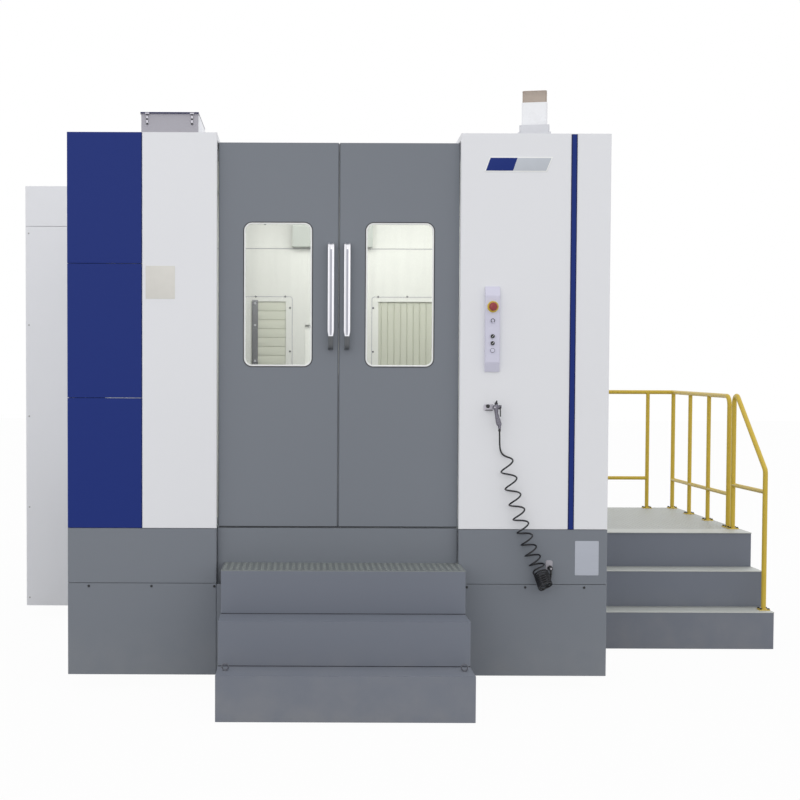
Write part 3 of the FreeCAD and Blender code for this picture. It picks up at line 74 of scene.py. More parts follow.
# Sizes of the screws: radius of the head, its height, and half the socket's width.
PLINTH_SCREW = (0.0075, 0.0035, 0.0034)
PANEL_SCREW = (0.0062, 0.003, 0.003)
HINGE_SCREW = (0.0060, 0.003, 0.003)
LAMP_SCREW = (0.0052, 0.003, 0.0026)
CHAMBER_SCREW = (0.0070, 0.0035, 0.003)
STRIP_SCREW = (0.008, 0.003, 0.0035)

# Places that several pieces share.
wall_x = 1.600
wall_back = 3.884
wall_top = 3.250
plinth_foot = 0.085
deck_top = 0.750
gun_y = -0.060
gun_head_x = 0.926
fitting_x = 1.260
strip_x = 0.906
stop_z, ring_z, selector_upper_z, selector_lower_z, white_button_z = 2.273, 2.192, 2.100, 2.059, 2.017


# ---- Shapes worked out as arrays: every one gives (points, [faces with equal corner counts]) ----
def unit(vectors):
    """Vectors divided by their own length."""
    vectors = np.asarray(vectors, float)
    return vectors / np.linalg.norm(vectors, axis=-1, keepdims=True)


def square_to(axis):
    """Two unit vectors square to an axis and to each other, right-handed with it."""
    axis = unit(axis)
    helper = np.array(UP) if abs(axis[2]) < 0.9 else np.array(RIGHT)
    side = unit(np.cross(helper, axis))
    return side, np.cross(axis, side)


def loft(rings, closed=False, capped=True):
    """Rings of equal count joined by quads; a loft that doesn't close on itself gets flat end faces."""
    rings = np.asarray(rings, float)
    count, per_ring = rings.shape[:2]
    index = np.arange(count * per_ring).reshape(count, per_ring)
    here = index if closed else index[:-1]
    after = np.roll(index, -1, 0) if closed else index[1:]
    quads = np.stack([here, np.roll(here, -1, 1), np.roll(after, -1, 1), after], -1)
    faces = [quads.reshape(-1, 4)]
    if capped and not closed:
        faces += [index[:1, ::-1], index[-1:]]
    return rings.reshape(-1, 3), faces


def around(sides):
    """Angles of a whole turn in equal steps."""
    return np.linspace(0, math.tau, sides, endpoint=False)


def turned(profile, base, axis, sides=32, capped=True):
    """A profile of (radius r, height h) turned round an axis:
    point = base + h·axis + r·(cos a·side + sin a·lift)."""
    profile = np.asarray(profile, float)
    side, lift = square_to(axis)
    angle = around(sides)
    spoke = np.cos(angle)[:, None] * side + np.sin(angle)[:, None] * lift
    rings = profile[:, 0, None, None] * spoke + profile[:, 1, None, None] * unit(axis)
    return loft(rings + np.asarray(base, float), capped=capped)


def swept(section, path, up, closed=False):
    """A section (s, t) carried along a path:
    point = path + s·side + t·lift, side = direction × up, lift = side × direction."""
    path = np.asarray(path, float)
    section = np.asarray(section, float)
    ahead = np.roll(path, -1, 0) - np.roll(path, 1, 0) if closed else np.gradient(path, axis=0)
    side = unit(np.cross(unit(ahead), up))
    lift = np.cross(side, unit(ahead))
    rings = path[:, None] + section[:, 0, None] * side[:, None] + section[:, 1, None] * lift[:, None]
    return loft(rings, closed)


def circle(radius, sides=20):
    """Points of a circle: radius·(cos a, sin a)."""
    angle = around(sides)
    return radius * np.stack([np.cos(angle), np.sin(angle)], -1)


def rounded_rectangle(width, height, radius, steps=8):
    """A rectangle with quarter-circle corners: corner centre + radius·(cos a, sin a)."""
    quarter = np.linspace(0, math.pi / 2, steps)
    turn = np.arange(4)[:, None] * math.pi / 2 + quarter
    signs = np.array([[1, 1], [-1, 1], [-1, -1], [1, -1]], float)
    centres = signs * (np.array([width, height]) / 2 - radius)
    arcs = centres[:, None] + radius * np.stack([np.cos(turn), np.sin(turn)], -1)
    return arcs.reshape(-1, 2)


def rounded_path(corners, radius, steps=9):
    """Straight lengths whose inner corners are arcs: each starts at corner − r·tan(turn/2)·in, and runs as
    centre − r·n·cos a + r·in·sin a."""
    corners = np.asarray(corners, float)
    coming = unit(corners[1:-1] - corners[:-2])
    leaving = unit(corners[2:] - corners[1:-1])
    turn = np.arccos(np.clip((coming * leaving).sum(-1), -1, 1))
    inward = unit(leaving - coming * np.cos(turn)[:, None])
    start = corners[1:-1] - coming * (radius * np.tan(turn / 2))[:, None]
    angle = (turn[:, None] * np.linspace(0, 1, steps))[..., None]
    centre = (start + inward * radius)[:, None]
    arcs = centre + radius * (coming[:, None] * np.sin(angle) - inward[:, None] * np.cos(angle))
    return np.concatenate([corners[:1], arcs.reshape(-1, 3), corners[-1:]])


def inset(outline, distance):
    """A closed outline moved inwards: each point goes along its edges' normals over 1 + their cosine."""
    outline = np.asarray(outline, float)
    edge = unit(np.roll(outline, -1, 0) - outline)
    normal = np.stack([-edge[:, 1], edge[:, 0]], -1)
    before = np.roll(normal, 1, 0)
    share = 1 + (normal * before).sum(-1, keepdims=True)
    return outline + distance * (normal + before) / share


def flat(outline, origin, right, up, lift=0.0):
    """An outline (s, t) laid on a plane: origin + s·right + t·up + lift·(right × up)."""
    outline = np.asarray(outline, float)
    right, up = unit(right), unit(up)
    laid = np.asarray(origin, float) + outline[:, :1] * right + outline[:, 1:] * up
    return laid + lift * np.cross(right, up)


def raised(outline, origin, thickness, edge, right=RIGHT, up=UP):
    """A plate on a plane with a rounded rim: it rises straight, then rolls in over the edge radius."""
    rings = [flat(outline, origin, right, up)]
    for a in np.linspace(0, math.pi / 2, 4):
        height = thickness - edge + edge * math.sin(a)
        rings.append(flat(inset(outline, edge * (1 - math.cos(a))), origin, right, up, height))
    return loft(rings)


def plate(size, corner, steps, origin, thickness, edge, right=RIGHT, up=UP):
    """A raised plate of a width and height, its corners rounded in so many steps."""
    return raised(rounded_rectangle(*size, corner, steps), origin, thickness, edge, right, up)


def bead(outline, origin, width, height, right=RIGHT, up=UP):
    """A half-round bead along a closed outline: width·cos a across it and height·sin a above it."""
    rings = [flat(inset(outline, width / 2 * math.cos(a)), origin, right, up, height * math.sin(a))
             for a in np.linspace(0, math.pi, 7)]
    return loft(rings, closed=True)


def box(low, high, edge=0.0):
    """A block between two corners; an edge rounds its upright edges and breaks the others."""
    low, high = np.asarray(low, float), np.asarray(high, float)
    middle = (low + high) / 2
    size = high - low
    outline = rounded_rectangle(size[0], size[1], max(edge, 1e-5), 5 if edge else 1)
    levels = [(0, low[2]), (0, high[2])]
    if edge:
        broken = 0.3
        levels = [(broken, low[2]), (0, low[2] + edge * broken), (0, high[2] - edge * broken),
                  (broken, high[2])]
    rings = [flat(inset(outline, edge * inward), (middle[0], middle[1], z), RIGHT, BACK)
             for inward, z in levels]
    return loft(rings)


def six_sided(half_flats, angle):
    """A hexagon's radius: half its width over the cosine of the angle from the nearest flat."""
    return half_flats / np.cos((angle % (math.pi / 3)) - math.pi / 6)


def bolt_head(rows, sides=24):
    """Rows of (radius, height) from the seat up, round Z; a radius may be an array over the whole turn."""
    angle = around(sides)
    rings = [np.stack([r * np.cos(angle), r * np.sin(angle), np.full(sides, z)], -1) for r, z in rows]
    return loft(rings)


def socket_screw(radius, height, recess):
    """A domed head with a six-sided socket, on +Z from its seat."""
    hexagon = six_sided(recess, around(24))
    return bolt_head([
        (radius, 0.0), (radius, height * 0.45), (radius * 0.88, height * 0.85), (radius * 0.66, height),
        (hexagon, height), (hexagon * 0.98, height * 0.35), (hexagon * 0.02, height * 0.3)])


def hexagon_bolt(flats, height, washer):
    """A hexagon head with a chamfered crown on a round washer, on +Z from its seat."""
    hexagon = six_sided(flats / 2, around(24))
    crown = np.minimum(hexagon, flats / 2 * 1.02) * 0.94
    return bolt_head([
        (washer, 0.0), (washer, height * 0.2), (hexagon, height * 0.2), (hexagon, height * 0.85),
        (crown, height), (hexagon * 0.02, height)])


def repeated(shape, places):
    """One shape at each place, all as one array."""
    points, faces = shape
    places = np.asarray(places, float).reshape(-1, 3)
    moved = (places[:, None] + points[None]).reshape(-1, 3)
    step = (np.arange(len(places)) * len(points))[:, None, None]
    return moved, [(f[None] + step).reshape(-1, f.shape[1]) for f in faces]


def copies(shape, places, axis=UP):
    """One shape repeated, with its Z turned to the axis."""
    points, faces = shape
    side, lift = square_to(axis)
    return repeated((points[:, :1] * side + points[:, 1:2] * lift + points[:, 2:] * unit(axis), faces),
                    places)


def joined(*shapes):
    """Several shapes as one, their face numbers moved on."""
    starts = np.cumsum([0] + [len(points) for points, faces in shapes])
    faces = [f + start for (points, own), start in zip(shapes, starts) for f in own]
    return np.concatenate([points for points, own in shapes]), faces


def keep(name, shape, finish, body="enclosure", smooth=True):
    """Makes the piece: doubles merged, faces turned outwards, its finish and body set."""
    points, faces = shape
    mesh = bpy.data.meshes.new(name)
    mesh.from_pydata((points + datum).tolist(), [], [corner for f in faces for corner in f.tolist()])
    work = bmesh.new()
    work.from_mesh(mesh)
    bmesh.ops.remove_doubles(work, verts=work.verts, dist=MERGE_DISTANCE)
    bmesh.ops.recalc_face_normals(work, faces=work.faces)
    work.to_mesh(mesh)
    work.free()
    mesh.polygons.foreach_set("use_smooth", np.full(len(mesh.polygons), smooth))
    if smooth:
        mesh.set_sharp_from_angle(angle=SMOOTH_ANGLE)
    mesh.materials.append(finished(finish))
    piece = bpy.data.objects.new(name, mesh)
    bpy.context.scene.collection.objects.link(piece)
    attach(piece, body)
    return piece


def black(name, shape, body="enclosure"):
    """A piece of black plastic."""
    return keep(name, shape, "black_plastic", body)


def rubber(name, shape, body="enclosure"):
    """A piece of dark rubber, or a blackened screw."""
    return keep(name, shape, "dark_rubber", body)


def white(name, shape):
    """A piece painted like the columns."""
    return keep(name, shape, "white_paint")


def screws(size, places, axis=FRONT):
    """Socket screws of one size at their places."""
    return copies(socket_screw(*size), places, axis)


# ---- Settings that a user sees ----
def length_setting(label, note, value):
    """A length, in metres."""
    return bpy.props.FloatProperty(name=label, description=note, unit="LENGTH", default=value)


def count_setting(label, note, value):
    """A whole number."""
    return bpy.props.IntProperty(name=label, description=note, default=value)


def power_setting(label, note, value):
    """A lamp's power."""
    return bpy.props.FloatProperty(name=label, description=note, unit="POWER", default=value)


def angle_setting(label, note, value):
    """An angle, in radians."""
    return bpy.props.FloatProperty(name=label, description=note, subtype="ANGLE", default=value)


def linear(red, green, blue):
    """A colour picked in sRGB steps of 0 to 255, as linear light."""
    value = np.array([red, green, blue]) / 255
    return tuple(np.where(value <= 0.04045, value / 12.92, ((value + 0.055) / 1.055) ** 2.4).tolist())


def colour_setting(label, note, red, green, blue):
    """A colour, given in sRGB steps."""
    return bpy.props.FloatVectorProperty(name=label, description=note, subtype="COLOR", size=3, min=0.0,
                                         max=1.0, default=linear(red, green, blue))


# ---- Finishes ----
def finished(name):
    """The finish of that name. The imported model's own materials keep the plain names."""
    return bpy.data.materials[name + "_finish"]


def add(tree, kind, inputs=(), **settings):
    """Adds a node, sets its properties, and sets or links its inputs."""
    node = tree.nodes.new(kind)
    for key, value in settings.items():
        setattr(node, key, value)
    for key, value in dict(inputs).items():
        if isinstance(value, bpy.types.NodeSocket):
            tree.links.new(value, node.inputs[key])
        else:
            node.inputs[key].default_value = value
    return node


def maths(tree, operation, first, second=0.0):
    """One arithmetic step on values."""
    return add(tree, "ShaderNodeMath", {0: first, 1: second}, operation=operation).outputs[0]


def centred(tree, value, width):
    """A value's distance from a half, times a width: width·(value − 0.5)."""
    return maths(tree, "MULTIPLY", maths(tree, "SUBTRACT", value, 0.5), width)


def ramp(tree, value, low, high, from_low=0.0, from_high=1.0):
    """A value carried from one range to another."""
    node = add(tree, "ShaderNodeMapRange", {"Value": value, "From Min": from_low, "From Max": from_high,
                                            "To Min": low, "To Max": high})
    return node.outputs[0]


def tinted(tree, amount, first, second):
    """A colour between two colours."""
    return add(tree, "ShaderNodeMix", {0: amount, 6: first, 7: second}, data_type="RGBA").outputs[2]


def brightened(tree, colour, amount):
    """A colour times an amount."""
    return add(tree, "ShaderNodeVectorMath", {0: colour, "Scale": amount}, operation="SCALE").outputs[0]


def stretched(tree, place, factors):
    """A place whose axes are multiplied by their own factors."""
    return add(tree, "ShaderNodeVectorMath", {0: place, 1: factors}, operation="MULTIPLY").outputs[0]


def noise(tree, place, scale, detail=2.0, roughness=0.5):
    """Cloudy noise between 0 and 1."""
    values = {"Vector": place, "Scale": scale, "Detail": detail, "Roughness": roughness}
    return add(tree, "ShaderNodeTexNoise", values).outputs["Fac"]


def group(name, inputs, outputs=("Colour", "Roughness", "Height")):
    """An empty shader node group with its named sockets, its input node and its output node."""
    tree = bpy.data.node_groups.new(name, "ShaderNodeTree")
    kinds = {"Place": "NodeSocketVector", "Colour": "NodeSocketColor", "Stretch": "NodeSocketVector"}
    for labels, way in ((inputs, "INPUT"), (outputs, "OUTPUT")):
        for label in labels:
            tree.interface.new_socket(name=label, in_out=way,
                                      socket_type=kinds.get(label, "NodeSocketFloat"))
    return tree, tree.nodes.new("NodeGroupInput").outputs, tree.nodes.new("NodeGroupOutput").inputs


def send(tree, end, **values):
    """Links values to a group's outputs."""
    for label, value in values.items():
        tree.links.new(value, end[label])


def build_powder_coat():
    """Baked paint: broad tone drift, a fine orange-peel height, and dust that gathers near the floor."""
    tree, start, end = group("powder_coat", ["Place", "Colour", "Tone", "Grain", "Gloss", "Dust"])
    place = start["Place"]
    broad = noise(tree, place, 0.8, 1.0)
    fine = noise(tree, place, start["Grain"], 2.0)
    shade = maths(tree, "ADD", centred(tree, broad, start["Tone"]), 1.0)
    coated = brightened(tree, start["Colour"], shade)
    height = add(tree, "ShaderNodeSeparateXYZ", {0: place}).outputs["Z"]
    low = ramp(tree, height, 1.0, 0.0, 0.0, 0.4)
    patches = ramp(tree, noise(tree, place, 7.0, 4.0), 0.2, 1.0, 0.35, 0.75)
    dust = maths(tree, "MULTIPLY", maths(tree, "MULTIPLY", low, patches), start["Dust"])
    dust_colour = (0.42, 0.40, 0.36, 1.0)
    gloss = maths(tree, "ADD", start["Gloss"], centred(tree, fine, 0.12))
    send(tree, end, Colour=tinted(tree, dust, coated, dust_colour),
         Roughness=maths(tree, "ADD", gloss, dust),
         Height=fine)


def build_brushed_metal():
    """Drawn or ground metal: noise stretched along the grain varies its tone, roughness and fine height."""
    tree, start, end = group("brushed_metal", ["Place", "Colour", "Stretch", "Gloss"])
    grain = noise(tree, stretched(tree, start["Place"], start["Stretch"]), 1.0, 3.0, 0.6)
    patches = noise(tree, start["Place"], 5.0, 3.0)
    worn = maths(tree, "ADD", grain, maths(tree, "MULTIPLY", patches, 0.4))
    tone = ramp(tree, worn, 0.9, 1.06, 0.3, 1.1)
    gloss = maths(tree, "ADD", start["Gloss"], centred(tree, grain, 0.25))
    send(tree, end, Colour=brightened(tree, start["Colour"], tone), Roughness=gloss, Height=grain)


def build_cast_skin():
    """Painted casting: coarse sand bumps under thick paint, with painted shade that darkens the hollows."""
    tree, start, end = group("cast_skin", ["Place", "Colour", "Gloss"])
    coarse = noise(tree, start["Place"], 26.0, 5.0, 0.6)
    fine = noise(tree, start["Place"], 240.0, 2.0)
    height = maths(tree, "ADD", coarse, maths(tree, "MULTIPLY", fine, 0.3))
    # Painted shade: the tone drops where the coarse bumps are low, darkening the hollows
    tone = ramp(tree, coarse, 0.88, 1.08, 0.3, 0.7)
    gloss = maths(tree, "ADD", start["Gloss"], maths(tree, "MULTIPLY", coarse, 0.12))
    send(tree, end, Colour=brightened(tree, start["Colour"], tone), Roughness=gloss, Height=height)


def build_moulded_plastic():
    """Moulded plastic: a fine stipple and a slight unevenness of gloss."""
    tree, start, end = group("moulded_plastic", ["Place", "Colour", "Gloss"])
    stipple = noise(tree, start["Place"], 1400.0, 1.0)
    cloud = noise(tree, start["Place"], 22.0, 2.0)
    tone = ramp(tree, cloud, 0.96, 1.04)
    gloss = maths(tree, "ADD", start["Gloss"], centred(tree, cloud, 0.16))
    send(tree, end, Colour=brightened(tree, start["Colour"], tone), Roughness=gloss, Height=stipple)


def build_coolant_film():
    """Sheet inside the chamber: runs that fall straight down and spots of dried mist."""
    tree, start, end = group("coolant_film", ["Place", "Colour", "Gloss"])
    runs = noise(tree, stretched(tree, start["Place"], (16.0, 16.0, 0.9)), 1.0, 4.0, 0.6)
    mist = noise(tree, start["Place"], 60.0, 3.0)
    film = maths(tree, "ADD", maths(tree, "MULTIPLY", runs, 0.7), maths(tree, "MULTIPLY", mist, 0.3))
    tone = ramp(tree, film, 1.04, 0.94, 0.3, 0.7)
    gloss = maths(tree, "ADD", start["Gloss"], maths(tree, "MULTIPLY", film, 0.25))
    send(tree, end, Colour=brightened(tree, start["Colour"], tone), Roughness=gloss, Height=film)


def build_wiped_glass():
    """A pane's haze: broad wipe marks, as a roughness."""
    tree, start, end = group("wiped_glass", ["Place"], ["Roughness"])
    wipes = noise(tree, stretched(tree, start["Place"], (9.0, 1.0, 3.0)), 1.0, 3.0)
    send(tree, end, Roughness=ramp(tree, wipes, 0.0, 0.07, 0.4, 0.8))


def new_material(name):
    """A material's node tree, its Principled shader, and the object's coordinates."""
    material = bpy.data.materials.new(name + "_finish")
    material.use_nodes = True
    tree = material.node_tree
    place = add(tree, "ShaderNodeTexCoord").outputs["Object"]
    return tree, tree.nodes["Principled BSDF"], place


def dressed(name, effect, values, bump, bump_scale, **shader_values):
    """A material whose colour, roughness and bump come from a shared effect."""
    tree, shader, place = new_material(name)
    node = add(tree, "ShaderNodeGroup", node_tree=bpy.data.node_groups[effect])
    tree.links.new(place, node.inputs["Place"])
    for label, value in values.items():
        node.inputs[label].default_value = value
    tree.links.new(node.outputs["Colour"], shader.inputs["Base Color"])
    tree.links.new(node.outputs["Roughness"], shader.inputs["Roughness"])
    height = {"Height": node.outputs["Height"], "Strength": bump, "Distance": bump_scale}
    tree.links.new(add(tree, "ShaderNodeBump", height).outputs[0], shader.inputs["Normal"])
    for label, value in shader_values.items():
        shader.inputs[label.replace("_", " ")].default_value = value


def paint(name, colour, gloss=0.42, grain=380.0, tone=0.035, dust=0.10, specular=0.25):
    """Baked paint on sheet metal."""
    values = {"Colour": (*colour, 1.0), "Tone": tone, "Grain": grain, "Gloss": gloss, "Dust": dust}
    dressed(name, "powder_coat", values, 0.12, 0.0004, Specular_IOR_Level=specular)


def metal(name, colour, gloss, stretch, bump=0.10, share=1.0):
    """Bare metal; a lower share is a dulled skin that also scatters light."""
    values = {"Colour": (*colour, 1.0), "Stretch": stretch, "Gloss": gloss}
    dressed(name, "brushed_metal", values, bump, 0.0003, Metallic=share)


def plastic(name, colour, gloss, **more):
    """Moulded plastic or rubber."""
    dressed(name, "moulded_plastic", {"Colour": (*colour, 1.0), "Gloss": gloss}, 0.10, 0.0002, **more)


def chamber_paint(name, colour):
    """Paint inside the chamber, under a film of coolant."""
    dressed(name, "coolant_film", {"Colour": (*colour, 1), "Gloss": 0.3}, 0.05, 0.0003)


class FinishSettings(bpy.types.PropertyGroup):
    """Colours of the machine's paints, metals and plastics."""

    white_paint: colour_setting("White paint", "Columns, walls, roof and guard", 227, 228, 232)
    blue_paint: colour_setting("Blue paint", "Corner column and stripe", 27, 47, 119)
    blue_edge_paint: colour_setting("Dark blue paint", "Stripe borders and roof box edge", 14, 22, 74)
    grey_paint: colour_setting("Grey paint", "Doors, plinth and apron", 120, 125, 133)
    dark_grey_paint: colour_setting("Dark grey paint", "Steps and inner frame", 116, 121, 132)
    yellow_paint: colour_setting("Yellow paint", "Guardrails", 205, 177, 68)
    interior_paint: colour_setting("Interior paint", "Chamber walls", 226, 227, 221)
    # Painted light: the apron's colour is whiter than the chamber walls to cancel the shade of its recess
    # behind the wall opening
    apron_brightened_paint: colour_setting("Apron paint", "The head's sliding apron", 246, 247, 241)
    cover_paint: colour_setting("Cover paint", "Slatted and ribbed covers", 204, 206, 191)
    casting_paint: colour_setting("Casting paint", "Bed, column, saddle, table and head", 168, 172, 172)
    aluminium: colour_setting("Aluminium", "Treads and deck", 178, 181, 178)
    # Painted highlight, not wear: a lighter colour for the tops of the deck's bars and of the side treads,
    # where light from above catches them
    tread_highlights: colour_setting("Tread highlights", "Worn tops of the deck's bars", 198, 201, 197)
    landing: colour_setting("Landing", "Top of the front steps", 128, 133, 134)
    # Painted highlight, not wear: a lighter copy of the landing colour for the tops of its bars
    landing_highlights: colour_setting("Landing highlights", "Worn tops of its bars", 150, 156, 153)
    handle: colour_setting("Handle aluminium", "Bow handles", 232, 232, 237)
    steel: colour_setting("Steel", "Track, trays and spindle", 176, 177, 178)
    zinc: colour_setting("Zinc-plated steel", "Feet and hook", 196, 194, 202)
    fastener: colour_setting("Zinc-plated screws", "Screws of the outer walls", 170, 170, 168)
    screw: colour_setting("Screw metal", "Screws and strips in the chamber", 120, 121, 124)
    strip: colour_setting("Control strip", "Control strip's moulding", 208, 207, 224)
    yellow_plastic: colour_setting("Yellow plastic", "Collar of the stop button", 220, 190, 62)
    red_plastic: colour_setting("Red plastic", "Stop button", 140, 26, 32)
    black_plastic: colour_setting("Black plastic", "Selectors and trigger", 28, 29, 31)
    roof_box: colour_setting("Roof box", "Box on the roof", 163, 161, 169)
    lamp_base: colour_setting("Lamp base", "Signal lamp's base", 206, 207, 212)
    lamp_body: colour_setting("Lamp body", "Signal lamp's body", 232, 233, 236)
    lamp_cap: colour_setting("Lamp cap", "Signal lamp's lens", 188, 173, 160)
    gun: colour_setting("Gun metal", "Air gun's body", 124, 122, 132)
    hose: colour_setting("Hose", "Curly hose", 14, 15, 22)
    plate: colour_setting("Plate", "Blank plate on the plinth", 174, 178, 188)
    label: colour_setting("Label", "Blank plate on the left column", 214, 212, 206)
    badge: colour_setting("Badge", "Pale half of the bare badge", 188, 193, 201)
    dark_rubber: colour_setting("Dark rubber", "Gaskets, sweeps and black screws", 38, 40, 44)
    pale_rubber: colour_setting("Pale rubber", "Window seals", 238, 239, 238)
    seal_rubber: colour_setting("Seal rubber", "Seals where the doors meet", 84, 88, 94)
    foot: colour_setting("Handle foot", "Covers on the handles' feet", 86, 89, 93)
    groove: colour_setting("Handle groove", "Grooves of the handles", 172, 172, 184)
    grey_mark: colour_setting("Grey mark", "Lifting rings", 92, 94, 102)
    # Dark colour for printed marks and the white button's ring, and also for painted shadow at the feet of
    # the risers
    dark_mark_and_shadow: colour_setting("Dark mark", "Marks and seams", 48, 50, 58)


class MACHINE_OT_finishes(bpy.types.Operator):
    """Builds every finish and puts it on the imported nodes, each by its material slot."""

    bl_idname = "machine.finishes"
    bl_label = "Finishes"

    def execute(self, context):
        for build in (build_powder_coat, build_brushed_metal, build_cast_skin, build_moulded_plastic,
                      build_coolant_film, build_wiped_glass):
            build()
        colours = context.scene.machine_finishes
        self.paints(colours)
        self.metals(colours)
        self.plastics(colours)
        self.glass()
        self.light_panel()
        slots = [(part["node"], part["material_slot"]) for part in frame["record"]["subparts"]]
        # The steel apron takes the brightened colour, painted light that offsets its recess's shade
        others = (("head_apron", "apron_brightened_paint"), ("white_button", "strip_paint"),
                  ("ring_button", "strip_paint"), ("front_step_grating", "landing_aluminium"))
        for name, finish in (*slots, *others):
            node = frame["nodes"][name]
            node.data.materials.clear()
            node.data.materials.append(finished(finish))
        return {"FINISHED"}

    def paints(self, colours):
        """Paints of the outside, of the chamber and of the castings."""
        paint("white_paint", colours.white_paint, gloss=0.36)
        paint("grey_paint", colours.grey_paint, gloss=0.4, tone=0.06, dust=0.16)
        paint("dark_grey_paint", colours.dark_grey_paint, gloss=0.46, tone=0.07, dust=0.22)
        paint("blue_paint", colours.blue_paint, gloss=0.4, tone=0.05, specular=0.15)
        paint("blue_edge_paint", colours.blue_edge_paint, gloss=0.38)
        paint("yellow_paint", colours.yellow_paint, gloss=0.3, tone=0.08)
        paint("cover_paint", colours.cover_paint, gloss=0.35, tone=0.1)
        paint("strip_paint", colours.strip, gloss=0.22, tone=0.02)
        chamber_paint("interior_paint", colours.interior_paint)
        chamber_paint("apron_brightened_paint", colours.apron_brightened_paint)
        casting = {"Colour": (*colours.casting_paint, 1), "Gloss": 0.45}
        dressed("casting_paint", "cast_skin", casting, 0.3, 0.002)

    def metals(self, colours):
        """Each metal's stretch is the fineness of its grain along x, y and z."""
        even, tread = (300.0, 300.0, 300.0), (30.0, 260.0, 260.0)
        metal("machined_iron", colours.steel, 0.34, (420.0, 18.0, 420.0))
        metal("steel", colours.steel, 0.36, (300.0, 300.0, 12.0))
        metal("zinc_steel", colours.zinc, 0.42, (160.0, 160.0, 160.0), 0.2)
        metal("tread_aluminium", colours.aluminium, 0.5, tread, 0.2, 0.35)
        metal("tread_highlights", colours.tread_highlights, 0.5, tread, 0.2, 0.3)
        metal("landing_aluminium", colours.landing, 0.5, tread, 0.2, 0.35)
        metal("landing_highlights", colours.landing_highlights, 0.5, tread, 0.2, 0.3)
        metal("handle_aluminium", colours.handle, 0.3, (900.0, 900.0, 10.0), 0.06)
        metal("gun_metal", colours.gun, 0.3, (120.0, 120.0, 120.0))
        metal("plate_metal", colours.plate, 0.45, (8.0, 400.0, 400.0), 0.08)
        metal("screw_metal", colours.screw, 0.4, even)
        metal("zinc_steel_fastener", colours.fastener, 0.38, even)

    def plastics(self, colours):
        """Plastics, rubbers and printed marks."""
        plastic("grey_plastic", colours.roof_box, 0.42)
        plastic("pale_plastic", colours.lamp_base, 0.32)
        plastic("white_plastic", colours.lamp_body, 0.28)
        plastic("black_plastic", colours.black_plastic, 0.3)
        plastic("yellow_plastic", colours.yellow_plastic, 0.26)
        plastic("red_plastic", colours.red_plastic, 0.16, Coat_Weight=0.4)
        plastic("blue_plastic", colours.gun, 0.3)
        plastic("dark_rubber", colours.dark_rubber, 0.62)
        plastic("pale_rubber", colours.pale_rubber, 0.5)
        plastic("seal_rubber", colours.seal_rubber, 0.5)
        plastic("foot_plastic", colours.foot, 0.45)
        plastic("groove_plastic", colours.groove, 0.4)
        plastic("badge_grey", colours.badge, 0.35)
        plastic("grey_mark", colours.grey_mark, 0.4)
        plastic("dark_mark_and_shadow", colours.dark_mark_and_shadow, 0.4)
        plastic("hose_plastic", colours.hose, 0.34)
        plastic("lamp_cap", colours.lamp_cap, 0.18, Transmission_Weight=0.35)
        plastic("label_print", colours.label, 0.4)

    def glass(self):
        """Clear panes with wipe marks; a low refraction keeps what stands behind them in place."""
        tree, shader, place = new_material("window_glass")
        haze = add(tree, "ShaderNodeGroup", node_tree=bpy.data.node_groups["wiped_glass"])
        tree.links.new(place, haze.inputs["Place"])
        tree.links.new(haze.outputs["Roughness"], shader.inputs["Roughness"])
        shader.inputs["Base Color"].default_value = (0.965, 0.972, 0.955, 1)
        shader.inputs["Transmission Weight"].default_value = 1.0
        shader.inputs["IOR"].default_value = 1.3

    def light_panel(self):
        """A frosted panel that glows, a little brighter over its rows of lamps."""
        tree, shader, place = new_material("light_panel")
        bands = {"Vector": place, "Scale": 5.0, "Distortion": 0.0}
        rows = add(tree, "ShaderNodeTexWave", bands, bands_direction="X")
        glow = tinted(tree, rows.outputs["Fac"], (0.80, 0.84, 0.80, 1), (0.94, 0.97, 0.92, 1))
        tree.links.new(glow, shader.inputs["Emission Color"])
        shader.inputs["Emission Strength"].default_value = 0.12
        shader.inputs["Base Color"].default_value = (0.46, 0.49, 0.45, 1)


# ---- Curly hose ----
class HoseSettings(bpy.types.PropertyGroup):
    """Sizes of the curly hose."""

    diameter: length_setting("Diameter", "Outside diameter of the hose", 0.010)
    coil_radius: length_setting("Coil radius", "Radius of the hose's middle line in a turn", 0.041)
    stretched_turns: count_setting("Stretched turns", "Turns that hang apart", 9)
    heaped_turns: count_setting("Heaped turns", "Turns that lie on each other", 7)
    points_per_turn: count_setting("Points per turn", "Control points in a turn", 14)
    length: length_setting("Length", "Whole length of the hose", 4.6)


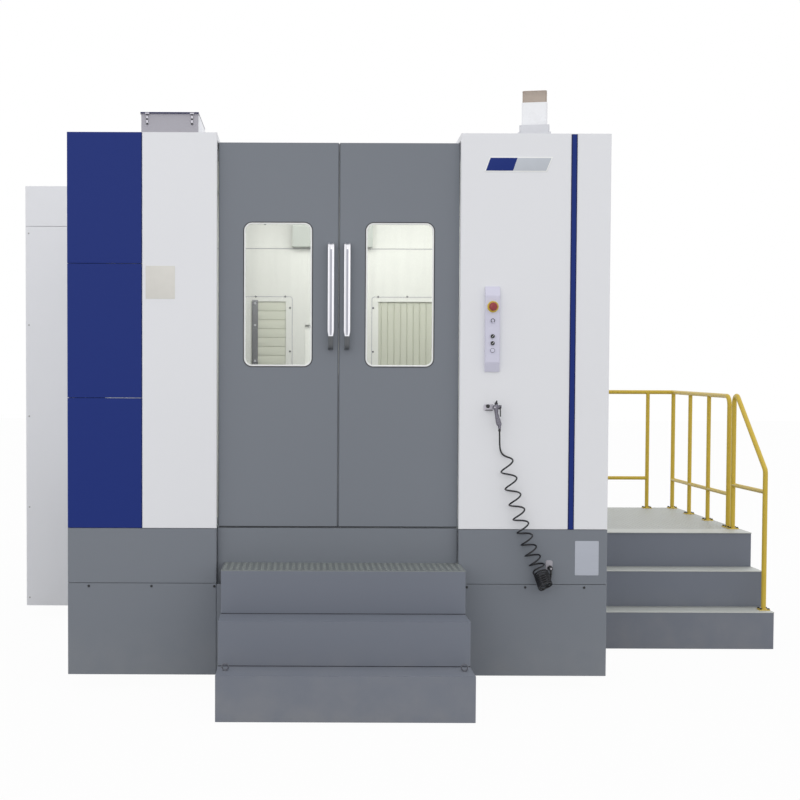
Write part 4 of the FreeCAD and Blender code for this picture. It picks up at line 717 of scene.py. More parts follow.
class MACHINE_OT_hose(bpy.types.Operator):
    """The curly hose from wall fitting to air gun: one NURBS line with its helix as control points."""

    bl_idname = "machine.hose"
    bl_label = "Curly hose"

    def coil(self, hose):
        """The helix: centre(t) + radius·(cos a·side + sin a·front) with a = 2πt − π/2. The centre falls by a
        pitch that shrinks from the first to the last stretched turn, then the turns lean back and lie
        close."""
        first_pitch, last_pitch, step, heap_pitch = 0.110, 0.042, 0.0241, 0.014
        start_x, start_y, start_z = 0.981, -0.054, 1.393
        stretched, turns = hose.stretched_turns, hose.stretched_turns + hose.heaped_turns
        turn = np.linspace(0, turns, turns * hose.points_per_turn + 1)
        hung = np.minimum(turn, stretched)
        slope = (last_pitch - first_pitch) / stretched
        fall = first_pitch * hung + slope * hung**2 / 2
        heap = unit((0.24, -0.72, -0.95))
        lying = np.maximum(turn - stretched, 0)[:, None] * heap * heap_pitch
        centre = np.stack([start_x + step * hung, np.full_like(turn, start_y), start_z - fall], -1) + lying
        pitch = first_pitch + slope * hung
        hanging = unit(np.stack([np.full_like(turn, step), np.zeros_like(turn), -pitch], -1))
        settle = np.clip(turn - stretched + 1, 0, 1)
        settle = (settle**2 * (3 - 2 * settle))[:, None]
        run = unit(hanging * (1 - settle) + heap * settle)
        side = unit(np.array(RIGHT) - run * run[:, :1])
        front = np.cross(run, side)
        angle = (math.tau * turn - math.pi / 2)[:, None]
        return centre + hose.coil_radius * (side * np.cos(angle) + front * np.sin(angle))

    def bend(self, start, leave, end, arrive, count):
        """A cubic between two ends with their directions: (2s³ − 3s² + 1)·start + (s³ − 2s² + s)·leave +
        (3s² − 2s³)·end + (s³ − s²)·arrive, without the end itself."""
        s = np.linspace(0, 1, count, endpoint=False)[:, None]
        start, leave, end, arrive = (np.asarray(value, float) for value in (start, leave, end, arrive))
        starting = (2 * s**3 - 3 * s**2 + 1) * start + (s**3 - 2 * s**2 + s) * leave
        return starting + (3 * s**2 - 2 * s**3) * end + (s**3 - s**2) * arrive

    def execute(self, context):
        hose = context.scene.machine_hose
        helix = self.coil(hose)[:-2]
        gun_end, wall_end = np.array([0.947, gun_y, 1.557]), np.array([fitting_x, -0.040, 0.709])
        gun_stub, wall_stub = gun_end - (0, 0, 0.016), wall_end - (0, 0, 0.029)
        top_run, low_run = unit(helix[2] - helix[0]), unit(helix[-1] - helix[-2])
        lead = self.bend(gun_stub, (0.012, 0, -0.24), helix[1], 0.18 * top_run, 7)
        tail = self.bend(helix[-1], 0.12 * low_run, wall_stub, (0, 0, 0.16), 7)
        route = np.concatenate([[gun_end], lead, helix[1:-1], tail, [wall_stub, wall_end]])[::-1] + datum
        curve = bpy.data.curves.new("curly_hose", "CURVE")
        curve.dimensions = "3D"
        line = curve.splines.new("NURBS")
        line.points.add(len(route) - 1)
        line.points.foreach_set("co", np.column_stack([route, np.ones(len(route))]).ravel())
        line.order_u = 3
        line.use_endpoint_u = True
        line.resolution_u = 4
        curve.bevel_depth = hose.diameter / 2
        curve.bevel_resolution = 4
        curve.use_fill_caps = True
        curve.materials.append(finished("hose_plastic"))
        piece = bpy.data.objects.new("curly_hose", curve)
        context.scene.collection.objects.link(piece)
        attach(piece, "enclosure")
        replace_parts(piece, "coil_hose")
        sleeve = [(0.0052, 0.0), (0.0075, 0.001), (0.0082, 0.006), (0.0074, 0.0075), (0.0078, 0.013),
                  (0.0062, 0.017), (0.0052, 0.0175)]
        crimps = [turned(sleeve, end - (0, 0, 0.0165), UP, 24, False) for end in (gun_end, wall_end)]
        ferrules = black("hose_ferrules", joined(*crimps))
        self.fitting()
        return {"FINISHED"}

    def fitting(self):
        """A rounded wall plate, and on it a collar with a banjo block that points down."""
        wall_plate = plate((0.041, 0.058), 0.010, 6, (1.2555, 0.0, 0.7460), 0.006, 0.002)
        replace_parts(keep("wall_fitting", wall_plate, "grey_plastic"), "hose_fitting")
        collar = [(0.0148, 0.0), (0.0148, 0.009), (0.0132, 0.011), (0.0100, 0.011), (0.0092, 0.012),
                  (0.0092, 0.027), (0.0112, 0.028), (0.0118, 0.031), (0.0118, 0.039), (0.0105, 0.042),
                  (0.0060, 0.043), (0.0, 0.043)]
        nipple = [(0.0064, 0.0), (0.0064, 0.008), (0.0078, 0.009), (0.0078, 0.020)]
        plug = [(0.0062, 0.0), (0.0062, 0.0010), (0.0050, 0.0018), (0.0, 0.0018)]
        collar_z = 0.731
        black("wall_elbow", joined(turned(collar, (fitting_x, -0.006, collar_z), FRONT, 32),
                                   turned(nipple, (fitting_x, -0.040, 0.7095), UP, 24)))
        keep("elbow_plug", turned(plug, (fitting_x, -0.0488, collar_z), FRONT, 24), "grey_plastic")


# ---- Air gun ----
def eased(table, steps):
    """A table's rows filled in: its first column runs straight, the others go row to row by 3s² − 2s³."""
    table = np.asarray(table, float)
    straight = np.linspace(0, 1, steps, endpoint=False)[None, :, None]
    share = np.repeat(straight * straight * (3 - 2 * straight), table.shape[1], axis=2)
    share[..., 0] = straight[..., 0]
    rows = table[:-1, None] * (1 - share) + table[1:, None] * share
    return np.concatenate([rows.reshape(-1, table.shape[1]), table[-1:]])


class MACHINE_OT_air_gun(bpy.types.Operator):
    """The air gun on its hook: a leaning body of ellipses, a turned nozzle, a pivot and a lever."""

    bl_idname = "machine.air_gun"
    bl_label = "Air gun"

    def body(self):
        """Ellipses stacked along Z, from a table of height z, middle x and half widths in x and y."""
        table = [
            (1.5575, 0.9470, 0.0080, 0.0080), (1.5630, 0.9468, 0.0092, 0.0092),
            (1.5680, 0.9462, 0.0088, 0.0088), (1.5840, 0.9430, 0.0160, 0.0130),
            (1.6050, 0.9385, 0.0152, 0.0130), (1.6280, 0.9325, 0.0125, 0.0125),
            (1.6510, 0.9280, 0.0108, 0.0120), (1.6660, 0.9270, 0.0125, 0.0145),
            (1.6780, 0.9270, 0.0158, 0.0165), (1.6900, 0.9270, 0.0152, 0.0160),
            (1.6990, 0.9265, 0.0105, 0.0120), (1.7030, 0.9260, 0.0060, 0.0060),
        ]
        rows = eased(table, 4)
        sides = 28
        angle = around(sides)
        across = rows[:, 1:2] + rows[:, 2:3] * np.cos(angle)
        deep = gun_y + rows[:, 3:4] * np.sin(angle)
        return loft(np.stack([across, deep, np.repeat(rows[:, :1], sides, 1)], -1))

    def nozzle(self):
        """A nut and a leaning tip on top, and two studs at the side."""
        angle = around(24)
        hexagon = six_sided(0.0090, angle)
        outline = np.stack([hexagon * np.cos(angle), hexagon * np.sin(angle)], -1)
        nut = loft([flat(outline, (gun_head_x, gun_y, z), RIGHT, BACK) for z in (1.702, 1.709)])
        tip = [(0.0062, 0.0), (0.0062, 0.006), (0.0046, 0.008), (0.0042, 0.013), (0.0030, 0.016)]
        stud = [(0.0040, 0.0), (0.0040, 0.004), (0.0052, 0.005), (0.0052, 0.010), (0.0040, 0.0115),
                (0.0, 0.012)]
        studs = [turned(stud, (0.940, gun_y, z), RIGHT, 20) for z in (1.675, 1.6915)]
        return joined(nut, turned(tip, (gun_head_x, gun_y, 1.7075), (0.3, 0, 1), 24), *studs)

    def lever(self):
        """A rounded bar carried along a path of (height z, place y)."""
        rows = np.array([(1.6910, -0.0815), (1.6820, -0.0820), (1.6680, -0.0835), (1.6480, -0.0880),
                         (1.6330, -0.0895), (1.6290, -0.0885)])
        path = np.column_stack([np.full(len(rows), 0.947), rows[:, 1], rows[:, 0]])
        return swept(rounded_rectangle(0.0032, 0.0068, 0.0012, 4), path, RIGHT)

    def execute(self, context):
        ear_x, ear_thickness = (0.9402, 0.9512), 0.0026
        bridge = box((0.9300, -0.0790, 1.6800), (0.9538, -0.0660, 1.6955), 0.002)
        ears = [box((x, -0.0880, 1.677), (x + ear_thickness, -0.0720, 1.6955), 0.001) for x in ear_x]
        pin = turned([(0.0026, 0.0), (0.0026, 0.0136)], (ear_x[0], -0.0815, 1.688), RIGHT, 16)
        corners = [(0.920, gun_y, 1.690), (0.906, gun_y, 1.690), (0.906, gun_y, 1.676)]
        hang = swept(circle(0.0028, 12), rounded_path(corners, 0.006), BACK)
        gun = keep("air_gun_body", joined(self.body(), bridge, *ears, pin, hang), "gun_metal")
        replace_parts(gun, "air_gun")
        rubber("air_gun_nozzle", self.nozzle())
        trigger = black("air_gun_lever", self.lever(), "gun_trigger")
        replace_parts(trigger, "gun_trigger")
        knob = [(0.0075, 0.0), (0.0075, 0.004), (0.0118, 0.006), (0.0122, 0.016), (0.0105, 0.0186),
                (0.0, 0.0192)]
        rim = box((0.8690, -0.0098, 1.6628), (0.9120, -0.0055, 1.6672), 0.001)
        black("gun_hook_knob", joined(turned(knob, (0.883, -0.006, 1.6870), FRONT, 28), rim))
        return {"FINISHED"}


# ---- Doors ----
class DoorSettings(bpy.types.PropertyGroup):
    """Sizes of the doors' seals and handles."""

    seal_width: length_setting("Window seal", "Width of the seal round a window", 0.010)
    handle_width: length_setting("Handle width", "Width of a bow handle", 0.038)
    handle_thickness: length_setting("Handle thickness", "Thickness of a bow handle", 0.011)
    cover_length: length_setting("Handle foot cover", "Length of a handle's dark foot", 0.078)


class MACHINE_OT_door_trim(bpy.types.Operator):
    """Window seals with their clamp frames behind, meeting-edge seals, and a sweep under each door."""

    bl_idname = "machine.door_trim"
    bl_label = "Door trim"

    def meeting_seal(self, edge_x):
        """A strip with a narrower lip, along the door's whole edge."""
        half, lip_half, depth, lip_depth = 0.0016, 0.0008, 0.026, 0.030
        profile = [(-half, 0.0), (half, 0.0), (half, depth), (lip_half, lip_depth), (-lip_half, lip_depth),
                   (-half, depth)]
        return swept(profile, [(edge_x, 0.053, 0.972), (edge_x, 0.053, 3.236)], BACK)

    def sweep(self, low_x, high_x):
        """A square strip under a door."""
        half, y, z = 0.004, 0.070, 0.9655
        profile = [(-half, -half), (half, -half), (half, half), (-half, half)]
        return swept(profile, [(low_x, y, z), (high_x, y, z)], UP)

    def execute(self, context):
        seal_width, window_z = context.scene.machine_doors.seal_width, 2.345
        opening = rounded_rectangle(0.404, 0.850, 0.048, 10)
        for name, middle_x, edge_x, low_x, high_x in (("left", -0.358, 0.0008, -0.706, -0.006),
                                                      ("right", 0.364, 0.0052, 0.012, 0.712)):
            body = name + "_door"
            seal = bead(inset(opening, seal_width / 2), (middle_x, 0.0528, window_z), seal_width, 0.0040)
            lip = bead(inset(opening, -0.0022), (middle_x, 0.0502, window_z), 0.0045, 0.0022)
            clamp = bead(inset(opening, -0.012), (middle_x, 0.0640, window_z), 0.016, 0.003, LEFT)
            keep(name + "_window_seal", seal, "pale_rubber", body)
            rubber(name + "_window_lip", lip, body)
            keep(name + "_meeting_seal", self.meeting_seal(edge_x), "seal_rubber", body)
            keep(name + "_window_clamp", clamp, "steel", body)
            rubber(name + "_door_sweep", self.sweep(low_x, high_x), body)
        return {"FINISHED"}


class MACHINE_OT_handles(bpy.types.Operator):
    """Bow handles: a grooved bar carried round two bends, with a dark cover on its foot."""

    bl_idname = "machine.handles"
    bl_label = "Door handles"

    def section(self, settings, grow=0.0, groove=0.0034):
        """The bar's outline: outer face s = −h + groove·cos²(πt/2w) inside |t| < w, then round corners and a
        flat back."""
        half_thick, half_wide = settings.handle_thickness / 2 + grow, settings.handle_width / 2 + grow
        corner, channel, face_steps = 0.003, 0.013, 21
        thick, wide = half_thick - corner, half_wide - corner
        across = np.linspace(-wide, wide, face_steps)
        dip = np.where(np.abs(across) < channel, groove * np.cos(np.pi * across / channel / 2) ** 2, 0)
        face = np.column_stack([-half_thick + dip, across])
        turn = np.linspace(0, math.pi / 2, 5)[1:]
        right = np.column_stack([-thick - corner * np.cos(turn), wide + corner * np.sin(turn)])
        back_right = np.column_stack([thick + corner * np.sin(turn), wide + corner * np.cos(turn)])
        upper = np.concatenate([face, right, [(0, half_wide)], back_right])
        return np.concatenate([upper, upper[face_steps:][::-1] * (1, -1)])

    def waisted(self, shape, x):
        """The shape drawn in towards x near its foot: x' = x + (x − middle)·(1 − narrowing·(1 − e)), with
        e = 3s² − 2s³ and s = height above the waist over its length, held between 0 and 1."""
        waist_z, waist_length, narrowing = 2.095, 0.035, 0.28
        points, faces = shape
        s = np.clip((points[:, 2] - waist_z) / waist_length, 0, 1)
        points = points.copy()
        points[:, 0] = x + (points[:, 0] - x) * (1 - narrowing * (1 - s * s * (3 - 2 * s)))
        return points, faces

    def execute(self, context):
        settings = context.scene.machine_doors
        door_y, bow_y, foot_z, head_z, bend = 0.0500, 0.0035, 2.0255, 2.6445, 0.028
        for name, x in (("left", -0.045), ("right", 0.051)):
            body = name + "_door"
            foot = [(x, door_y, foot_z), (x, bow_y, foot_z)]
            bow = rounded_path([*foot, (x, bow_y, head_z), (x, door_y, head_z)], bend, 12)
            rise = np.column_stack([np.full(8, x), np.full(8, bow_y), np.linspace(2.070, 2.140, 8)])
            bow = np.concatenate([bow[:len(bow) // 2], rise, bow[len(bow) // 2:]])
            bar = keep(name + "_bow_handle", self.waisted(swept(self.section(settings), bow, RIGHT), x),
                       "handle_aluminium", body)
            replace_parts(bar, name + "_handle")
            groove = plate((0.0135, 0.505), 0.0065, 6, (x, 0.0014, 2.3575), 0.0014, 0.0004)
            keep(name + "_handle_groove", groove, "groove_plastic", body)
            path = rounded_path([*foot, (x, bow_y, 2.0200 + settings.cover_length)], bend, 12)
            cover = swept(self.section(settings, 0.0008, 0.0020), path, RIGHT)
            keep(name + "_handle_foot", self.waisted(cover, x), "foot_plastic", body)
        return {"FINISHED"}


# ---- Screws, plates, controls ----
class MACHINE_OT_screws(bpy.types.Operator):
    """Socket screws along the plinth's seam, on the outer walls and on the magazine guard."""

    bl_idname = "machine.screws"
    bl_label = "Panel screws"

    def execute(self, context):
        plinth = [(x, 0.0, 0.613) for x in (-1.475, -1.103, -0.730, 0.769, 1.116, 1.466)]
        rubber("plinth_screws", screws(PLINTH_SCREW, plinth))
        heights = np.linspace(1.05, 3.16, 7)
        left = [(-wall_x, y, z) for y in (0.085, 1.02, 1.98, 2.32, 3.86) for z in heights]
        right = [(wall_x, y, z) for y in (0.085, 0.95, 1.86, 2.88, 3.86) for z in heights]
        walls = joined(screws(PANEL_SCREW, left, LEFT), screws(PANEL_SCREW, right, RIGHT))
        keep("wall_screws", walls, "zinc_steel_fastener")
        guard = [(x, 2.420, z) for x in (-2.315, -1.640) for z in (0.16, 0.86, 1.56, 2.26, 2.96)]
        keep("guard_screws", screws(PANEL_SCREW, guard), "zinc_steel_fastener")
        return {"FINISHED"}


class MACHINE_OT_plates(bpy.types.Operator):
    """The narrow plates beside the steps, and blank ones: a slanted badge, a label plate, a silver plate."""

    bl_idname = "machine.plates"
    bl_label = "Blank plates"

    def badge(self):
        """A slanted white rim, and on it a grey and a blue field with a gap between them."""
        low, high = 3.072, 3.147
        rim = inset([(0.862, low), (1.216, low), (1.247, high), (0.889, high)], -0.006)
        keep("badge_rim", raised(rim, (0.0, 0.0, 0.0), 0.0022, 0.0008), "pale_rubber")
        on_rim = (0.0, -0.0020, 0.0)
        grey = [(1.0225, 3.0725), (1.2160, 3.0725), (1.2465, 3.1465), (1.0485, 3.1465)]
        keep("badge_ground", raised(grey, on_rim, 0.0010, 0.0003), "badge_grey")
        blue = [(0.862, low), (1.0215, low), (1.0475, high), (0.889, high)]
        keep("badge_field", raised(blue, on_rim, 0.0012, 0.0003), "blue_paint")

    def silver_plate(self):
        """A bare plate with a rivet in each corner."""
        x, z = 1.4795, 0.7885
        silver = plate((0.141, 0.205), 0.005, 4, (x, 0.0, z), 0.0012, 0.0004)
        keep("silver_plate", silver, "plate_metal")
        corners = [(x + i * 0.062, -0.0010, z + j * 0.094) for i in (-1, 1) for j in (-1, 1)]
        rivet = turned([(0.0024, 0.0), (0.0022, 0.0009), (0.0013, 0.0015), (0.0, 0.0017)], (0, 0, 0), UP, 14)
        keep("plate_rivets", copies(rivet, corners, FRONT), "steel")

    def execute(self, context):
        infills = [box((x, 0.0, 0.088), (x + 0.040, 0.004, 0.627)) for x in (-0.716, 0.676)]
        keep("plinth_infills", joined(*infills), "grey_paint")
        self.badge()
        label = plate((0.173, 0.194), 0.004, 4, (-1.0505, 0.0, 2.411), 0.0012, 0.0004)
        keep("label_plate", label, "label_print")
        borders = [plate((0.006, 2.322), 0.001, 3, (x, -0.0020, 2.123), 0.0006, 0.0002)
                   for x in (1.3672, 1.3968)]
        keep("stripe_borders", joined(*borders), "blue_edge_paint")
        self.silver_plate()
        return {"FINISHED"}


class MACHINE_OT_controls(bpy.types.Operator):
    """The strip's push buttons and selectors: stop mushroom, rings, marks and pointer lines."""

    bl_idname = "machine.controls"
    bl_label = "Controls"

    def stop_button(self):
        """The mushroom on its stem, and the collar's rounded rim."""
        mushroom = [(0.0, 0.0), (0.0108, 0.0), (0.0108, 0.0276), (0.0140, 0.0279), (0.0228, 0.0284),
                    (0.0244, 0.0298), (0.0246, 0.0355), (0.0238, 0.0384), (0.0212, 0.0416), (0.0166, 0.0440),
                    (0.0096, 0.0452), (0.0, 0.0455)]
        stop = keep("stop_mushroom", turned(mushroom, (strip_x, -0.014, stop_z), FRONT, 48), "red_plastic",
                    "estop_button")
        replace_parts(stop, "estop_button")
        rim = [(0.0285, 0.0), (0.0332, 0.0), (0.0332, 0.0012), (0.0322, 0.0026), (0.0304, 0.0034),
               (0.0287, 0.0026), (0.0285, 0.0)]
        keep("stop_collar_rim", turned(rim, (strip_x, -0.0338, stop_z), FRONT, 48, False), "yellow_plastic")

    def ring_mark(self):
        """An open ring with a dot under its middle."""
        steps, radius = 40, 0.0103
        turn = np.linspace(-0.32 * math.pi, 1.32 * math.pi, steps)
        arc = np.column_stack([strip_x + radius * np.cos(turn), np.full(steps, -0.0370),
                               ring_z + radius * np.sin(turn)])
        dot = turned([(0.0020, 0.0), (0.0020, 0.0006), (0.0, 0.0009)], (strip_x, -0.0364, 2.187), FRONT, 16)
        return joined(swept(circle(0.0020, 8), arc, FRONT), dot)

    def execute(self, context):
        self.stop_button()
        keep("ring_button_mark", self.ring_mark(), "dark_mark_and_shadow", "ring_button")
        rings = [bead(circle(radius, 40), (strip_x, -0.0300, z), 0.0028, 0.0030)
                 for radius, z in ((0.0150, ring_z), (0.0142, selector_upper_z), (0.0142, selector_lower_z))]
        keep("button_rings", joined(*rings), "screw_metal")
        outline = bead(circle(0.0124, 40), (strip_x, -0.0328, white_button_z), 0.0018, 0.0012)
        keep("white_button_ring", outline, "dark_mark_and_shadow")
        lean = math.radians(40)
        across = (math.cos(lean), 0, -math.sin(lean))
        along = (math.sin(lean), 0, math.cos(lean))
        for body, z in (("selector_upper", selector_upper_z), ("selector_lower", selector_lower_z)):
            line = plate((0.0018, 0.0170), 0.0008, 3, (strip_x, -0.0450, z), 0.0005, 0.0002, across, along)
            keep(body + "_line", line, "pale_rubber", body)
        return {"FINISHED"}


# ---- Roof ----
class MACHINE_OT_roof(bpy.types.Operator):
    """On the roof: the box's dark edge, hinges and side cover, and the lamp's gaskets, lid and screws."""

    bl_idname = "machine.roof"
    bl_label = "Roof pieces"

    def hinge(self, x):
        """A strap with rounded ends, and a barrel at its top."""
        strap = plate((0.012, 0.070), 0.005, 5, (x, 0.300, 3.425), 0.0028, 0.001)
        barrel = turned([(0.0058, 0.0), (0.0058, 0.026)], (x - 0.013, 0.2975, 3.4575), RIGHT, 20)
        return joined(strap, barrel)

    def side_cover(self):
        """A quarter-round cover along the box's side: edge + reach·sin a, foot + rise·cos a."""
        edge_x, foot_z, reach, rise = -0.852, 3.290, 0.026, 0.158
        quarter = np.linspace(0, math.pi / 2, 14)
        arc = np.column_stack([edge_x + reach * np.sin(quarter), foot_z + rise * np.cos(quarter)])
        outline = np.concatenate([arc, [(edge_x, foot_z)]])
        return loft([np.column_stack([outline[:, 0], np.full(len(outline), y), outline[:, 1]])
                     for y in (0.310, 0.810)])

    def box_trim(self):
        """Hinges with their screws, the dark edge over them, and the side cover."""
        hinge_x = (-1.162, -0.889)
        keep("roof_box_hinges", joined(*[self.hinge(x) for x in hinge_x]), "zinc_steel")
        places = [(x, 0.2972, z) for x in hinge_x for z in (3.3950, 3.4230, 3.4500)]
        rubber("roof_box_hinge_screws", screws(HINGE_SCREW, places))
        edge = box((-1.203, 0.2945, 3.4570), (-0.848, 0.3005, 3.4655), 0.0015)
        keep("roof_box_edge", edge, "blue_edge_paint")
        white("roof_box_side_cover", self.side_cover())

    def execute(self, context):
        self.box_trim()
        x, y, bolt_reach = 1.2090, 0.3770, 0.085
        turn = math.radians(-10.5)
        across = (math.cos(turn), math.sin(turn), 0)
        deep = (-math.sin(turn), math.cos(turn), 0)
        gaskets = [bead(rounded_rectangle(size, size, 0.012, 6), (x, y, z), 0.004, 0.002, across, deep)
                   for size, z in ((0.1500, 3.3955), (0.1420, 3.5335))]
        rubber("lamp_gaskets", joined(*gaskets))
        lid = plate((0.1470, 0.1470), 0.010, 6, (x, y, 3.5985), 0.006, 0.002, across, deep)
        keep("lamp_lid", lid, "lamp_cap")
        bolts = [(x, y, 3.351) + bolt_reach * (i * np.array(across) + j * np.array(deep))
                 for i in (-1, 1) for j in (-1, 1)]
        rubber("lamp_bolts", screws(LAMP_SCREW, bolts, UP))
        return {"FINISHED"}


# ---- Chamber ----
class MACHINE_OT_chamber(bpy.types.Operator):
    """Behind the windows: the back wall's screws, the slatted cover, its edge strip and port frames."""

    bl_idname = "machine.chamber"
    bl_label = "Chamber details"

    def slatted_cover(self):
        """Slats one above the other on a backing sheet."""
        slat_count, slat_pitch, top_z = 14, 0.065, 2.3785
        slats = [plate((0.250, 0.0615), 0.0012, 3, (-0.462, 1.9050, z), 0.0044, 0.0005)
                 for z in top_z - slat_pitch * np.arange(slat_count)]
        return joined(box((-0.617, 1.9048, 1.470), (-0.307, 1.9070, 2.445)), *slats)

    def execute(self, context):
        wall = 1.895
        heads = [(-0.556, 2.450), (-0.341, 2.451), (-0.306, 2.370), (-0.306, 2.053), (0.336, 2.451),
                 (0.547, 2.452), (0.299, 2.370), (0.299, 2.052), (-0.489, 2.975), (-0.274, 2.975),
                 (0.478, 2.985), (0.263, 2.985)]
        places = [(x, wall, z) for x, z in heads]
        keep("chamber_screws", screws(CHAMBER_SCREW, places), "screw_metal")
        cover = keep("slat_panel", self.slatted_cover(), "cover_paint")
        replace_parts(cover, "slat_cover")
        edge_x = -0.561
        strip = plate((0.044, 0.940), 0.002, 3, (edge_x, 1.893, 1.955), 0.006, 0.0015)
        keep("cover_edge_strip", strip, "screw_metal")
        dots = [(edge_x, 1.887, z) for z in (1.52, 1.72, 1.98, 2.24, 2.40)]
        keep("cover_edge_screws", screws(STRIP_SCREW, dots), "handle_aluminium")
        frames = [bead(rounded_rectangle(high - low, 0.985, 0.018, 6), ((low + high) / 2, wall, 1.957),
                       0.004, 0.0012)
                  for low, high in ((-0.640, -0.290), (0.290, 0.850))]
        keep("port_frames", joined(*frames), "grey_plastic")
        seam = plate((2.78, 0.004), 0.001, 3, (0.0, wall, 2.798), 0.0012, 0.0004)
        keep("wall_seam", seam, "grey_plastic")
        return {"FINISHED"}


# ---- Steps, deck and rails ----
class AccessSettings(bpy.types.PropertyGroup):
    """Sizes of the tread pattern and the guardrails."""

    tread_pitch: length_setting("Tread pitch", "Distance between the bars of the tread plate", 0.036)
    rail_radius: length_setting("Rail radius", "Radius of the guardrails' bent tubes", 0.017)
    post_radius: length_setting("Post radius", "Radius of the straight posts", 0.016)
    middle_radius: length_setting("Middle rail radius", "Radius of the middle rails", 0.015)


class MACHINE_OT_treads(bpy.types.Operator):
    """Raised tread bars on the deck and the front landing and thin sheets on the side treads' tops, coloured
    as painted highlights; strips of painted shadow at the risers' feet, and a dark seam on the deck.
    """

    bl_idname = "machine.treads"
    bl_label = "Treads"

    def field(self, low, high, pitch):
        """Bars like flat lenses, at ±45° in turn like a chessboard: ellipses that shrink as they rise."""
        sides = 8
        angle = around(sides)
        rows = ((0.0150, 0.0046, -0.0004), (0.0132, 0.0032, 0.0010), (0.0088, 0.0010, 0.0016))
        lens = np.array([np.stack([a * np.cos(angle), b * np.sin(angle), np.full(sides, h)], -1)
                         for a, b, h in rows])
        columns, ranks = (np.arange(*ends, pitch) for ends in zip(low, high))
        across, deep = np.meshgrid(columns, ranks, indexing="ij")
        odd = (np.add.outer(np.arange(len(columns)), np.arange(len(ranks))) % 2).astype(bool)
        shapes = []
        for lean, chosen in ((math.pi / 4, odd), (-math.pi / 4, ~odd)):
            cosine, sine = math.cos(lean), math.sin(lean)
            spin = np.array([[cosine, sine, 0], [-sine, cosine, 0], [0, 0, 1]])
            places = np.column_stack([across[chosen], deep[chosen], np.full(chosen.sum(), deck_top)])
            shapes.append(repeated(loft(lens @ spin), places))
        return joined(*shapes)

    def tread_highlight_sheet(self, y, z, depth):
        """A thin sheet on a tread's top that rounds its front edge; its colour is a painted highlight."""
        sheet, roll = 0.0012, 0.0025
        arc = np.linspace(-math.pi / 2, math.pi / 2, 7)
        front = np.column_stack([-0.001 - roll * np.cos(arc), -roll + roll * np.sin(arc)])
        section = np.concatenate([front, [(depth, 0.0), (depth, -sheet)]])
        return loft([np.column_stack([np.full(len(section), x), y + section[:, 0],
                                      z + sheet + section[:, 1]])
                     for x in (1.604, 3.041)])

    def execute(self, context):
        pitch = context.scene.machine_access.tread_pitch
        deck = self.field((1.632, 2.035), (3.030, 3.765), pitch)
        # The bars take the lighter colour as a painted highlight on their tops
        keep("deck_tread_bars", deck, "tread_highlights", smooth=False)
        landing = self.field((-0.655, -0.262), (0.715, 0.035), pitch)
        # The bars take the lighter colour as a painted highlight on their tops
        keep("landing_tread_bars", landing, "landing_highlights", smooth=False)
        steps = ((1.775, deck_top, 0.247), (1.530, 0.505, 0.175), (1.280, 0.255, 0.175))
        tread_highlight_sheets = [self.tread_highlight_sheet(*step) for step in steps]
        # Painted highlight: these sheets lighten the front of each side tread's top, where light from above
        # falls
        keep("side_tread_highlights", joined(*tread_highlight_sheets), "tread_highlights")
        # The two strips at the risers' feet are painted shadow where riser meets tread; the third is a dark
        # seam on the deck
        seams = [box((-0.672, y - 0.0012, z), (0.726, y + 0.0005, z + 0.0045))
                 for y, z in ((-0.547, 0.2500), (-0.297, 0.5000))]
        seams.append(box((1.606, 2.0250, 0.7495), (3.039, 2.0290, 0.7508)))
        keep("riser_foot_shadows_and_deck_seam", joined(*seams), "dark_mark_and_shadow")
        return {"FINISHED"}


